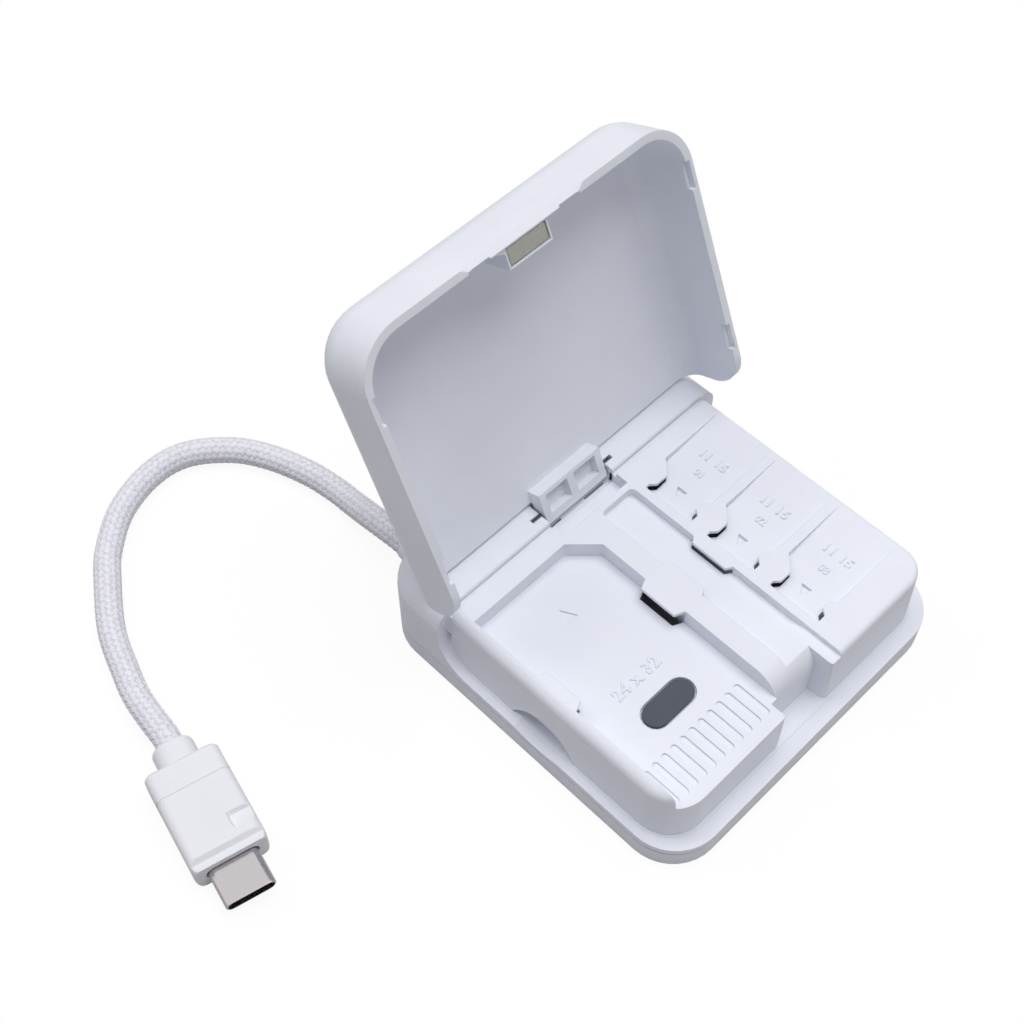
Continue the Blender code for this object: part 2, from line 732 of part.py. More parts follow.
def tray_ring(z):
    """The tray's outline at a height: drafted above the ledge, with its own fillet on each side."""
    rise = max(0, z - LEDGE) / DECK_ABOVE_LEDGE * TRAY_DRAFT
    below = DECK - z
    left = rise + fillet_inset(TRAY_LEFT_FILLET, below)
    right = rise + fillet_inset(TRAY_RIGHT_FILLET, below)
    front = rise + fillet_inset(TRAY_FRONT_FILLET, below)
    rear = fillet_inset(TRAY_REAR_FILLET, below)
    radii = (
        TRAY_CORNER_LEFT - (left + front) / 2,
        TRAY_CORNER_RIGHT - (right + front) / 2,
        TRAY_CORNER_REAR - (right + rear) / 2,
        TRAY_CORNER_REAR - (left + rear) / 2,
    )
    low_radius = TRAY_CORNER_REAR / 4
    outline = rounded(
        TRAY_LEFT + left,
        TRAY_RIGHT - right,
        TRAY_FRONT + front,
        TRAY_BACK - rear,
        [max(radius, low_radius) for radius in radii],
    )
    return [(x, y, z) for x, y in outline]


def side_tab(wall, side, reach, start):
    """A clip tab on a pocket's side wall, as (x, y). side is the way it sticks out, start its root."""
    root, tip = wall + side * start, wall + side * reach
    rear, front = TAB_START, TAB_START - TAB_LENGTH
    return [(root, rear), (tip, rear - TAB_SLANT), (tip, front + TAB_SLANT), (root, front)]


def corner_tab(rear, start):
    """The tab in the rear left corner of a small pocket."""
    left, back = SMALL_LEFT + start, rear - start
    side_share, tip_left_share, tip_right_share, cut_share = 0.65, 0.25, 0.57, 0.12
    return [
        (left, back),
        (left, rear - CORNER_TAB_SIDE),
        (SMALL_LEFT + CORNER_TAB_WIDTH * cut_share, rear - CORNER_TAB_REACH * side_share),
        (SMALL_LEFT + CORNER_TAB_WIDTH * tip_left_share, rear - CORNER_TAB_REACH),
        (SMALL_LEFT + CORNER_TAB_WIDTH * tip_right_share, rear - CORNER_TAB_REACH),
        (SMALL_LEFT + CORNER_TAB_WIDTH, back),
    ]


def front_tab(front, start, gap):
    """The small tab on a small pocket's front wall, near the left. gap widens it at the left."""
    left = SMALL_LEFT + FRONT_TAB_FROM_WALL
    right = left + FRONT_TAB_WIDTH
    return [
        (left - gap, front + start),
        (right, front + start),
        (right - FRONT_TAB_SLANT, front + FRONT_TAB_REACH),
        (left - gap + FRONT_TAB_SLANT, front + FRONT_TAB_REACH),
    ]


def small_pocket_rears():
    return [BIG_REAR - i * SMALL_POCKET_PITCH for i in range(SMALL_POCKET_COUNT)]


def pocket_cutter():
    """All five pockets as one cutter, from which the tabs are taken so that they stay."""
    bm = bmesh.new()
    front = TRAY_FRONT - OVERRUN
    outline = [
        (BIG_LEFT, front),
        (BIG_RIGHT, front),
        (BIG_RIGHT, BIG_REAR - BIG_POCKET_CHAMFER),
        (BIG_RIGHT - BIG_POCKET_CHAMFER, BIG_REAR),
        (BIG_LEFT, BIG_REAR),
    ]
    add_prism(bm, outline, BIG_FLOOR, DECK + OVERRUN)
    front, corner = middle_ramp_rear(), MIDDLE_POCKET_CORNER
    outline = [(MIDDLE_LEFT, front), (MIDDLE_RIGHT, front)]
    outline += arc((MIDDLE_RIGHT - corner, BIG_REAR - corner), corner, 0, 90, EDGE_STEPS)
    outline += arc((MIDDLE_LEFT + corner, BIG_REAR - corner), corner, 90, 180, EDGE_STEPS)
    add_prism(bm, outline, MIDDLE_FLOOR, DECK + OVERRUN)
    right = SMALL_LEFT + SMALL_POCKET_RAMP
    slope = SMALL_POCKET_DEPTH / SMALL_POCKET_RAMP
    over = OVERRUN / 10
    wedge = [
        (SMALL_LEFT, DECK - SMALL_POCKET_DEPTH),
        (right + over, DECK + slope * over),
        (right + over, DECK + OVERRUN),
        (SMALL_LEFT, DECK + OVERRUN),
    ]
    for rear in small_pocket_rears():
        add_prism(bm, wedge, rear - SMALL_POCKET_WIDTH, rear, "Y")
    pockets = make_cutter("pocket_cutter", bm)

    bm = bmesh.new()
    for outline in tab_outlines(-TAB_ROOT):
        add_prism(bm, outline, TAB_BOTTOM, DECK + OVERRUN * 2)
    cut(pockets, make_cutter("tab_keeper", bm))
    return pockets


def middle_ramp_rear():
    return TRAY_FRONT + MIDDLE_RAMP_FROM_FRONT + MIDDLE_RAMP_LENGTH


def lip_outline():
    """The middle pocket's front part, as (y, z): a ramp up to a lip that runs on to the front."""
    front, top = TRAY_FRONT - OVERRUN, DECK + OVERRUN
    ramp = middle_ramp_rear()
    rear = ramp + MIDDLE_RAMP_LENGTH
    lip = DECK - MIDDLE_LIP_DEPTH
    return [
        (front, lip),
        (ramp - MIDDLE_RAMP_LENGTH, lip),
        (ramp, MIDDLE_FLOOR),
        (rear, MIDDLE_FLOOR),
        (rear, top),
        (front, top),
    ]


def groove_outlines():
    """The row of short grooves across the big pocket's floor, round at both ends, as (x, y)."""
    radius = GROOVE_WIDTH / 2
    near = TRAY_FRONT + GROOVE_FROM_FRONT + radius
    far = near + GROOVE_LENGTH - GROOVE_WIDTH
    outlines = []
    for i in range(GROOVE_COUNT):
        x = BIG_RIGHT - GROOVE_FROM_DIVIDER - i * GROOVE_PITCH
        ends = (arc((x, near), radius, 180, 360, EDGE_STEPS), arc((x, far), radius, 0, 180, EDGE_STEPS))
        outlines.append(ends[0] + ends[1])
    return outlines


def tab_outlines(start, gap=0):
    """Every tab, or the hole below it. A negative start reaches that far into the walls."""
    outlines = [
        side_tab(BIG_LEFT, 1, BIG_TAB_REACH, start),
        side_tab(BIG_RIGHT, -1, BIG_TAB_REACH, start),
        side_tab(MIDDLE_LEFT, 1, MIDDLE_SMALL_REACH, start),
        side_tab(MIDDLE_RIGHT, -1, MIDDLE_TAB_REACH, start),
    ]
    for rear in small_pocket_rears():
        outlines.append(corner_tab(rear, start))
        outlines.append(front_tab(rear - SMALL_POCKET_WIDTH, start, gap))
    return outlines


def arrow(tip, width, length, turn):
    """A triangle that points along +Y before it is turned."""
    points = [(0, 0), (-width / 2, -length), (width / 2, -length)]
    c, s = math.cos(turn), math.sin(turn)
    return [(tip[0] + x * c - y * s, tip[1] + x * s + y * c) for x, y in points]


def tray_cavity_outline():
    left, right = TRAY_LEFT + TRAY_WALL, TRAY_RIGHT - TRAY_WALL
    front, rear = TRAY_FRONT + TRAY_WALL, TRAY_REAR - TRAY_WALL
    corner = TRAY_CORNER_LEFT - TRAY_WALL
    near, far = -NOTCH_LEFT - NOTCH_ROUND - TRAY_WALL, NOTCH_RIGHT + NOTCH_ROUND + TRAY_WALL
    back = NOTCH_REAR + TRAY_WALL
    return (
        arc((left + corner, front + corner), corner, 180, 270, CORNER_STEPS)
        + [(near, front), (near, back), (far, back), (far, front)]
        + arc((right - corner, front + corner), corner, 270, 360, CORNER_STEPS)
        + [(right, rear), (left, rear)]
    )


def card_tray(finish):
    bm = bmesh.new()
    levels = [TRAY_BOTTOM, LEDGE] + fillet_levels(DECK, TRAY_LEFT_FILLET)
    add_loft(bm, [tray_ring(z) for z in levels])
    body = make_part("card_tray", bm, finish)

    bm = bmesh.new()
    add_prism(bm, tray_cavity_outline(), TRAY_BOTTOM - OVERRUN, TRAY_CEILING)
    cut(body, make_cutter("tray_cavity_cutter", bm))

    bm = bmesh.new()
    for x, y in SCREW_PLACES[:2]:
        add_rod(bm, (x, y), POST_RADIUS, HOUSING_BOTTOM, TRAY_CEILING + TRAY_FLOOR / 2)
    half = SCOOP_RADIUS + SCOOP_BACK_WALL
    outline = box_outline(
        TRAY_LEFT + TRAY_WALL / 2,
        SCOOP_BACK + SCOOP_BACK_WALL,
        SCOOP_CENTRE_Y - half,
        SCOOP_CENTRE_Y + half,
    )
    add_prism(bm, outline, HOUSING_BOTTOM, TRAY_CEILING + TRAY_FLOOR / 2)
    join(body, make_cutter("posts_and_scoop_wall", bm))

    bm = bmesh.new()
    outline = box_outline(TRAY_LEFT - OVERRUN, TRAY_RIGHT + OVERRUN, TRAY_REAR, TRAY_REAR + OVERRUN)
    add_prism(bm, outline, DECK - TRAY_REAR_GROOVE_DEPTH, DECK + OVERRUN)
    cut(body, make_cutter("rear_groove_cutter", bm))

    cut(body, pocket_cutter())

    bm = bmesh.new()
    add_prism(bm, lip_outline(), MIDDLE_LEFT, MIDDLE_RIGHT, "X")
    cut(body, make_cutter("middle_lip_cutter", bm))

    bm = bmesh.new()
    for outline in groove_outlines():
        add_prism(bm, outline, BIG_FLOOR - GROOVE_DEPTH, BIG_FLOOR + OVERRUN)
    for outline in tab_outlines(-HOLE_UNDERCUT, FRONT_TAB_GAP):
        add_prism(bm, outline, TRAY_CEILING - TRAY_FLOOR, TAB_BOTTOM - CLEARANCE)
    pad_y = TRAY_FRONT + PAD_FROM_FRONT
    outline = stadium((big_middle(), pad_y), PAD_STRETCH, PAD_RADIUS + CLEARANCE)
    add_prism(bm, outline, BIG_FLOOR - PAD_RECESS, BIG_FLOOR + OVERRUN)
    tip = (big_middle(), BIG_REAR - ARROW_FROM_REAR)
    add_prism(bm, arrow(tip, ARROW_WIDTH, ARROW_LENGTH, 0), BIG_FLOOR - ARROW_DEPTH, BIG_FLOOR + OVERRUN)
    for x, y in SCREW_PLACES[:2]:
        add_rod(bm, (x, y), SCREW_HOLE_RADIUS, TRAY_BOTTOM - OVERRUN, SCREW_HOLE_TOP)
    cut(body, make_cutter("tray_holes", bm))

    bm = bmesh.new()
    for rear in small_pocket_rears():
        tip = (SMALL_LEFT + SMALL_ARROW_FROM_WALL, rear - SMALL_POCKET_WIDTH / 2)
        outline = arrow(tip, SMALL_ARROW_WIDTH, SMALL_ARROW_LENGTH, math.pi / 2)
        add_prism(bm, outline, DECK - SMALL_POCKET_DEPTH - ARROW_DEPTH / 2, DECK + OVERRUN)
    cut(body, make_cutter("small_arrow_cutter", bm))

    bm = bmesh.new()
    add_prism(bm, notch_outline(0), TRAY_BOTTOM - OVERRUN, DECK + OVERRUN)
    cut(body, make_cutter("notch_cutter", bm))

    bm = bmesh.new()
    add_prism(bm, notch_slope_outline(), BIG_RIGHT, NOTCH_RIGHT, "X")
    cut(body, make_cutter("notch_slope_cutter", bm))

    bm = bmesh.new()
    half = KNUCKLE_WIDTH / 2 + CLEARANCE
    front = AXIS.y - KNUCKLE_FORWARD - KNUCKLE_SKIN / 2
    floor = AXIS.z - KNUCKLE_BELOW - CLEARANCE
    add_prism(bm, box_outline(-half, half, front, TRAY_REAR + OVERRUN), floor, DECK + OVERRUN)
    cut(body, make_cutter("knuckle_recess_cutter", bm))

    bm = bmesh.new()
    centre = (SCOOP_CENTRE_Y, LEDGE + SCOOP_HEIGHT - SCOOP_RADIUS)
    add_rod(bm, centre, SCOOP_RADIUS, TRAY_LEFT - OVERRUN, SCOOP_BACK, "X", ROUND_STEPS * 2)
    cut(body, make_cutter("scoop_cutter", bm))

    bm = bmesh.new()
    half_y, half_z = CARD_SLOT_WIDTH / 2, CARD_SLOT_HEIGHT / 2
    outline = box_outline(
        SCOOP_CENTRE_Y - half_y, SCOOP_CENTRE_Y + half_y, SOCKET_MIDDLE - half_z, SOCKET_MIDDLE + half_z
    )
    add_prism(bm, outline, SCOOP_BACK - CLEARANCE, BOARD_LEFT, "X")
    cut(body, make_cutter("card_slot_cutter", bm))
    return body


def notch_slope_outline():
    """The walls behind the finger notch curve down towards it, as (y, z)."""
    curve = []
    for i in range(FILLET_STEPS + 1):
        angle = math.pi / 2 * i / FILLET_STEPS
        y = NOTCH_SLOPE_REAR - NOTCH_SLOPE_LENGTH * math.sin(angle)
        curve.append((y, DECK - NOTCH_SLOPE_HEIGHT * (1 - math.cos(angle))))
    front, top = TRAY_FRONT - OVERRUN, DECK + OVERRUN
    return curve + [(front, DECK - NOTCH_SLOPE_HEIGHT), (front, top), (NOTCH_SLOPE_REAR, top)]


def big_middle():
    return BIG_LEFT + BIG_POCKET_WIDTH / 2


def grip_pad(finish):
    bm = bmesh.new()
    outline = stadium((big_middle(), TRAY_FRONT + PAD_FROM_FRONT), PAD_STRETCH, PAD_RADIUS)
    add_prism(bm, outline, BIG_FLOOR - PAD_RECESS + CLEARANCE, BIG_FLOOR + PAD_RISE)
    make_part("grip_pad", bm, finish)


# Lid, shaped closed and moved to the hinge axis


def lid_ring(half, corner, rear, z):
    return [(x, y, z) for x, y in rounded(-half, half, -half, rear, (corner,) * 4)]


def lid_rings(inset):
    """The lid's outer form, or one drawn in all round, before its rear is cut."""
    half, corner = LID_HALF - inset, BASE_CORNER - LID_STEP - inset
    radius, top = LID_TOP_FILLET - inset, LID_TOP - inset
    rings = [lid_ring(half, corner, half, LID_RIM)]
    for z in fillet_levels(top, radius, CORNER_STEPS):
        drawn = fillet_inset(radius, top - z)
        rings.append(lid_ring(half - drawn, corner - drawn, half - drawn, z))
    return rings


def lid_shell(finish, pivot):
    shift = -AXIS
    bm = bmesh.new()
    add_loft(bm, lid_rings(0))
    body = make_part("lid_shell", bm, finish, pivot, shift)

    bm = bmesh.new()
    inside, radius = LID_HALF - LID_WALL, LID_INSIDE_FILLET
    corner = BASE_CORNER - LID_STEP - LID_WALL
    rear = LID_HALF + OVERRUN
    rings = [lid_ring(inside, corner, rear, LID_RIM - OVERRUN)]
    for z in fillet_levels(LID_INSIDE_TOP, radius, CORNER_STEPS):
        inset = fillet_inset(radius, LID_INSIDE_TOP - z)
        rings.append(lid_ring(inside - inset, corner - inset, rear - inset, z))
    add_loft(bm, rings)
    cut(body, make_cutter("lid_inside_cutter", bm, pivot, shift))

    bm = bmesh.new()
    add_prism(bm, behind_lid_outline(), -HALF - OVERRUN, HALF + OVERRUN, "X")
    cut(body, make_cutter("lid_rear_cutter", bm, pivot, shift))

    bm = bmesh.new()
    add_prism(bm, knuckle_outline(), -KNUCKLE_WIDTH / 2, KNUCKLE_WIDTH / 2, "X")
    join(body, make_cutter("knuckle_block", bm, pivot, shift))

    bm = bmesh.new()
    add_prism(bm, holder_outline(), HOLDER_BOTTOM, LID_INSIDE_TOP + LID_PLATE / 2)
    holder = make_cutter("magnet_holder", bm, pivot, shift)
    bm = bmesh.new()
    add_loft(bm, lid_rings(LID_WALL / 2))
    boolean(holder, make_cutter("lid_core", bm, pivot, shift), "INTERSECT")
    join(body, holder)

    bm = bmesh.new()
    for side in (-1, 1):
        far = KNUCKLE_WIDTH / 2 - KNUCKLE_SKIN
        ends = sorted((side * KNUCKLE_WEB / 2, side * far))
        front = AXIS.y - KNUCKLE_FORWARD + KNUCKLE_FRONT_WALL
        rear = AXIS.y - PIN_HOLE_RADIUS / 2
        bottom = AXIS.z - KNUCKLE_BELOW
        outline = box_outline(*ends, front, rear)
        add_prism(bm, outline, bottom - CLEARANCE, bottom + KNUCKLE_POCKET_DEPTH)
        hole_end = KNUCKLE_WIDTH / 2 - PIN_HOLE_DEPTH_LID
        ends = sorted((side * hole_end, side * (hole_end + OVERRUN)))
        add_rod(bm, AXIS.yz, PIN_HOLE_RADIUS, *ends, "X", ROUND_STEPS // 2)
    top = HOLDER_BOTTOM + MAGNET_HEIGHT + CLEARANCE * 2
    add_prism(bm, magnet_outline(CLEARANCE / 2), HOLDER_BOTTOM - OVERRUN, top)
    cut(body, make_cutter("lid_pocket_cutter", bm, pivot, shift))

    bm = bmesh.new()
    half = THUMB_WIDTH / 2
    out = CLEARANCE / THUMB_DEPTH
    shares = {-half - THUMB_END: -out, -half + THUMB_END: 1, half - THUMB_END: 1, half + THUMB_END: -out}
    add_loft(bm, [thumb_ring(x, share) for x, share in shares.items()])
    cut(body, make_cutter("thumb_cutter", bm, pivot, shift))

    bm = bmesh.new()
    front = -LID_HALF
    low = LID_RIM - OVERRUN
    for side in (-1, 1):
        middle = side * FRONT_RELIEF_OFFSET
        ends = (middle - FRONT_RELIEF_LENGTH / 2, middle + FRONT_RELIEF_LENGTH / 2)
        inner = front + LID_WALL
        outline = box_outline(*ends, inner - RELIEF_DEPTH / 2, inner + RELIEF_DEPTH)
        add_prism(bm, outline, low, LID_RIM + RELIEF_HEIGHT)
        edge = side * (LID_HALF - LID_WALL)
        ends = sorted((edge - side * RELIEF_DEPTH, edge + side * RELIEF_DEPTH))
        for y in (SIDE_RELIEF_FRONT, SIDE_RELIEF_REAR):
            outline = box_outline(*ends, y - SIDE_RELIEF_LENGTH / 2, y + SIDE_RELIEF_LENGTH / 2)
            add_prism(bm, outline, low, LID_RIM + RELIEF_HEIGHT)
    cut(body, make_cutter("rim_relief_cutter", bm, pivot, shift))
    return body


def thumb_ring(x, share):
    """A section of the cut that bevels the front rim for a thumb, share of its full depth."""
    over = OVERRUN / 2
    slope = THUMB_HEIGHT / THUMB_DEPTH
    low, front = LID_RIM - over, -LID_HALF - over
    return [
        (x, front, low),
        (x, -LID_HALF + THUMB_DEPTH * share + over / slope, low),
        (x, front, LID_RIM + THUMB_HEIGHT * share + over * slope),
    ]


def behind_lid_outline():
    """Everything behind the lid, as (y, z): its side walls end in the curve that clears the channel."""
    radius = LID_REAR - CHANNEL_Y
    rear = HALF + OVERRUN * 2
    curve = arc((CHANNEL_Y, CHANNEL_Z), radius, 270, 360, CORNER_STEPS)
    centre = (LID_REAR - LID_REAR_FILLET, LID_TOP - LID_REAR_FILLET)
    fillet = arc(centre, LID_REAR_FILLET, 0, 90, EDGE_STEPS)
    high = LID_TOP + OVERRUN
    return (
        [(CHANNEL_Y, LID_RIM - OVERRUN)]
        + curve
        + fillet
        + [(LID_REAR - LID_REAR_FILLET, high), (rear, high), (rear, LID_RIM - OVERRUN)]
    )


def knuckle_outline():
    """The hinge block below the lid's rear edge, as (y, z), rooted in the plate."""
    y, z = AXIS.y, AXIS.z
    top = LID_INSIDE_TOP
    front, back = y - KNUCKLE_FORWARD, y + KNUCKLE_BACK
    root = top + LID_PLATE / 2
    rear_of_root = LID_REAR - LID_REAR_FILLET
    return [
        (front, z - KNUCKLE_BELOW),
        (back, z - KNUCKLE_BELOW),
        (back, top - KNUCKLE_CHAMFER),
        (back - KNUCKLE_CHAMFER, top),
        (LID_REAR + LID_REAR_FILLET / 2, top),
        (rear_of_root, root),
        (front, root),
    ]


def holder_outline():
    """The block inside the front wall that holds the magnet, flared at the left, as (x, y)."""
    half = MAGNET_WIDTH / 2 + HOLDER_WALL
    left, right = MAGNET_CENTRE_X - half, MAGNET_CENTRE_X + half
    wall = -LID_HALF + LID_WALL / 2
    inner = -LID_HALF + LID_WALL
    rear = MAGNET_Y + MAGNET_DEPTH / 2 + HOLDER_WALL
    flare_share = 0.35
    return [
        (left - HOLDER_FLARE, wall),
        (right, wall),
        (right, rear),
        (left, rear),
        (left, inner + MAGNET_DEPTH * flare_share),
        (left - HOLDER_FLARE, inner),
    ]


def hinge_pin(side, finish, pivot):
    bm = bmesh.new()
    inner = KNUCKLE_WIDTH / 2 - PIN_HOLE_DEPTH_LID + CLEARANCE
    outer = CHEEK + PIN_HOLE_DEPTH_BEAM - CLEARANCE
    ends = sorted((side * inner, side * outer))
    add_rod(bm, (0, 0), PIN_RADIUS, *ends, "X", ROUND_STEPS // 2)
    make_part("hinge_pin_right" if side > 0 else "hinge_pin_left", bm, finish, pivot)


def magnet_outline(grow):
    half_x, half_y = MAGNET_WIDTH / 2 + grow, MAGNET_DEPTH / 2 + grow
    middle = MAGNET_CENTRE_X
    return box_outline(middle - half_x, middle + half_x, MAGNET_Y - half_y, MAGNET_Y + half_y)


def magnet(name, low, finish, parent=None, shift=None):
    bm = bmesh.new()
    add_prism(bm, magnet_outline(0), low, low + MAGNET_HEIGHT)
    made = make_part(name, bm, finish, parent, shift)
    edges = made.modifiers.new("edges", "BEVEL")
    edges.width = HOLDER_WALL / 5
    edges.segments = 1


# Electronics


def board_posts():
    inset = BOARD_POST_RADIUS * 2
    right = BOARD_LEFT + BOARD_LENGTH - inset
    half = BOARD_WIDTH / 2 - inset
    left = BOARD_LEFT + inset
    return [(left, BOARD_MIDDLE_Y + half), (right, BOARD_MIDDLE_Y + half), (right, BOARD_MIDDLE_Y - half)]


def board_box(left, right, half):
    """A box outline on the board, half as wide on each side of the board's middle line."""
    return box_outline(left, right, BOARD_MIDDLE_Y - half, BOARD_MIDDLE_Y + half)


def electronics(board_finish, socket_finish, chip_finish):
    board_right = BOARD_LEFT + BOARD_LENGTH
    bm = bmesh.new()
    add_prism(bm, board_box(BOARD_LEFT, board_right, BOARD_WIDTH / 2), BOARD_HEIGHT, BOARD_TOP)
    make_part("circuit_board", bm, board_finish)

    bm = bmesh.new()
    outline = board_box(BOARD_LEFT, BOARD_LEFT + SOCKET_LENGTH, SOCKET_WIDTH / 2)
    add_prism(bm, outline, SOCKET_BOTTOM, SOCKET_BOTTOM + SOCKET_HEIGHT)
    socket = make_part("card_socket", bm, socket_finish)
    bm = bmesh.new()
    half = SOCKET_SLOT_HEIGHT / 2
    outline = board_box(BOARD_LEFT - OVERRUN, BOARD_LEFT + SOCKET_SLOT_DEPTH, SOCKET_SLOT_WIDTH / 2)
    add_prism(bm, outline, SOCKET_MIDDLE - half, SOCKET_MIDDLE + half)
    cut(socket, make_cutter("socket_slot_cutter", bm))

    bm = bmesh.new()
    left = board_right - BOARD_EDGE - CHIP_LENGTH
    front = BOARD_MIDDLE_Y + SOCKET_WIDTH / 2 + CLEARANCE
    outline = box_outline(left, left + CHIP_LENGTH, front, front + CHIP_WIDTH)
    add_prism(bm, outline, SOCKET_BOTTOM, SOCKET_BOTTOM + CHIP_HEIGHT)
    make_part("controller_chip", bm, chip_finish)


# Cable


def smooth_route(points, steps, spacing):
    """Evenly spaced points on a smooth curve. The route's first and last point only set directions."""
    dense = []
    for a, b, c, d in zip(points, points[1:], points[2:], points[3:]):
        for i in range(steps):
            t = i / steps
            first, second, third = c - a, a * 2 - b * 5 + c * 4 - d, b * 3 - a - c * 3 + d
            dense.append(b + (first * t + second * t**2 + third * t**3) / 2)
    dense.append(points[-2])
    lengths = [0]
    for a, b in zip(dense, dense[1:]):
        lengths.append(lengths[-1] + (b - a).length)
    count = round(lengths[-1] / spacing)
    spaced, at = [], 0
    for i in range(count + 1):
        want = lengths[-1] * i / count
        while at < len(lengths) - 2 and lengths[at + 1] < want:
            at += 1
        share = (want - lengths[at]) / (lengths[at + 1] - lengths[at])
        spaced.append(dense[at].lerp(dense[at + 1], share))
    return spaced, lengths[-1]


def cable_gland(finish):
    """The gland in the rear wall: a flange inside, a neck in the hole and a tapered tip."""
    profile = [
        (0, -BEAM_WALL - CLEARANCE - GLAND_FLANGE),
        (GLAND_FLANGE_RADIUS, -BEAM_WALL - CLEARANCE - GLAND_FLANGE),
        (GLAND_FLANGE_RADIUS, -BEAM_WALL - CLEARANCE),
        (GLAND_RADIUS, -BEAM_WALL - CLEARANCE),
        (GLAND_RADIUS, CLEARANCE),
        (GLAND_TIP_RADIUS, GLAND_LENGTH),
        (0, GLAND_LENGTH),
    ]
    bm = bmesh.new()
    verts = [bm.verts.new((r, y, 0)) for r, y in profile]
    for a, b in zip(verts, verts[1:]):
        bm.edges.new((a, b))
    bmesh.ops.spin(
        bm,
        geom=bm.verts[:] + bm.edges[:],
        axis=(0, 1, 0),
        cent=(0, 0, 0),
        angle=2 * math.pi,
        steps=ROUND_STEPS,
        use_merge=True,
    )
    bmesh.ops.remove_doubles(bm, verts=bm.verts, dist=MERGE_DISTANCE)
    made = make_part("cable_gland", bm, finish)
    made.location = (CABLE_EXIT_X, HALF, CABLE_EXIT_HEIGHT)


def cable(finish, plug_frame):
    start = Vector((CABLE_EXIT_X, HALF + GLAND_LENGTH + CLEARANCE, CABLE_EXIT_HEIGHT))
    straight = CABLE_DIAMETER * CABLE_LEAD_SHARE
    lead = start + Vector((0, straight, 0))
    boot_end = PLUG_REAR + BOOT_LENGTH + CLEARANCE * 2
    end = plug_frame.matrix_world @ Vector((0, -boot_end, 0))
    before_end = plug_frame.matrix_world @ Vector((0, -boot_end - straight, 0))
    route = [start, lead] + [Vector(point) for point in CORD_ROUTE] + [before_end, end]
    spaced, length = smooth_route(route, CORD_STEPS, CABLE_DIAMETER * CABLE_SPACING_SHARE)
    points = [start] + spaced + [end]
    length += (lead - start).length + (end - before_end).length
    print(f"cable length {length:.4f} m in {len(points)} points")
    curve = bpy.data.curves.new("cable", "CURVE")
    curve.dimensions = "3D"
    curve.bevel_depth = CABLE_RADIUS
    curve.bevel_resolution = TUBE_STEPS
    curve.use_fill_caps = True
    spline = curve.splines.new("POLY")
    spline.points.add(len(points) - 1)
    for spot, point in zip(spline.points, points):
        spot.co = (*point, 1)
    made = bpy.data.objects.new("cable", curve)
    PARTS.objects.link(made)
    made.data.materials.append(finish)


# Plug, shaped along its own Y, with its tip towards +Y


def plug_ring(width, thickness, radius, y):
    half_x, half_z = width / 2, thickness / 2
    outline = rounded(-half_x, half_x, -half_z, half_z, (radius,) * 4, PLUG_CORNER_STEPS)
    return [(x, y, z) for x, z in outline]


def nick_ring(x, depth):
    """A section of the nick in the plug's side. Its floor rises towards the tip."""
    top, rear = PLUG_THICKNESS / 2, PLUG_FRONT - PLUG_NICK_FROM_FRONT
    high = top + PLUG_NICK_DEPTH
    return [
        (x, rear - PLUG_NICK_WALL, high),
        (x, rear + PLUG_NICK_WALL, top - depth),
        (x, rear + PLUG_NICK_LENGTH / 2, top - depth),
        (x, rear + PLUG_NICK_LENGTH, top),
        (x, rear + PLUG_NICK_LENGTH, high),
    ]


def plug_frame_empty():
    frame = bpy.data.objects.new("plug_frame", None)
    PARTS.objects.link(frame)
    frame.location = (PLUG_X, PLUG_Y, PLUG_AXIS_HEIGHT)
    frame.rotation_euler = (0, 0, PLUG_TURN)
    bpy.context.view_layer.update()
    return frame


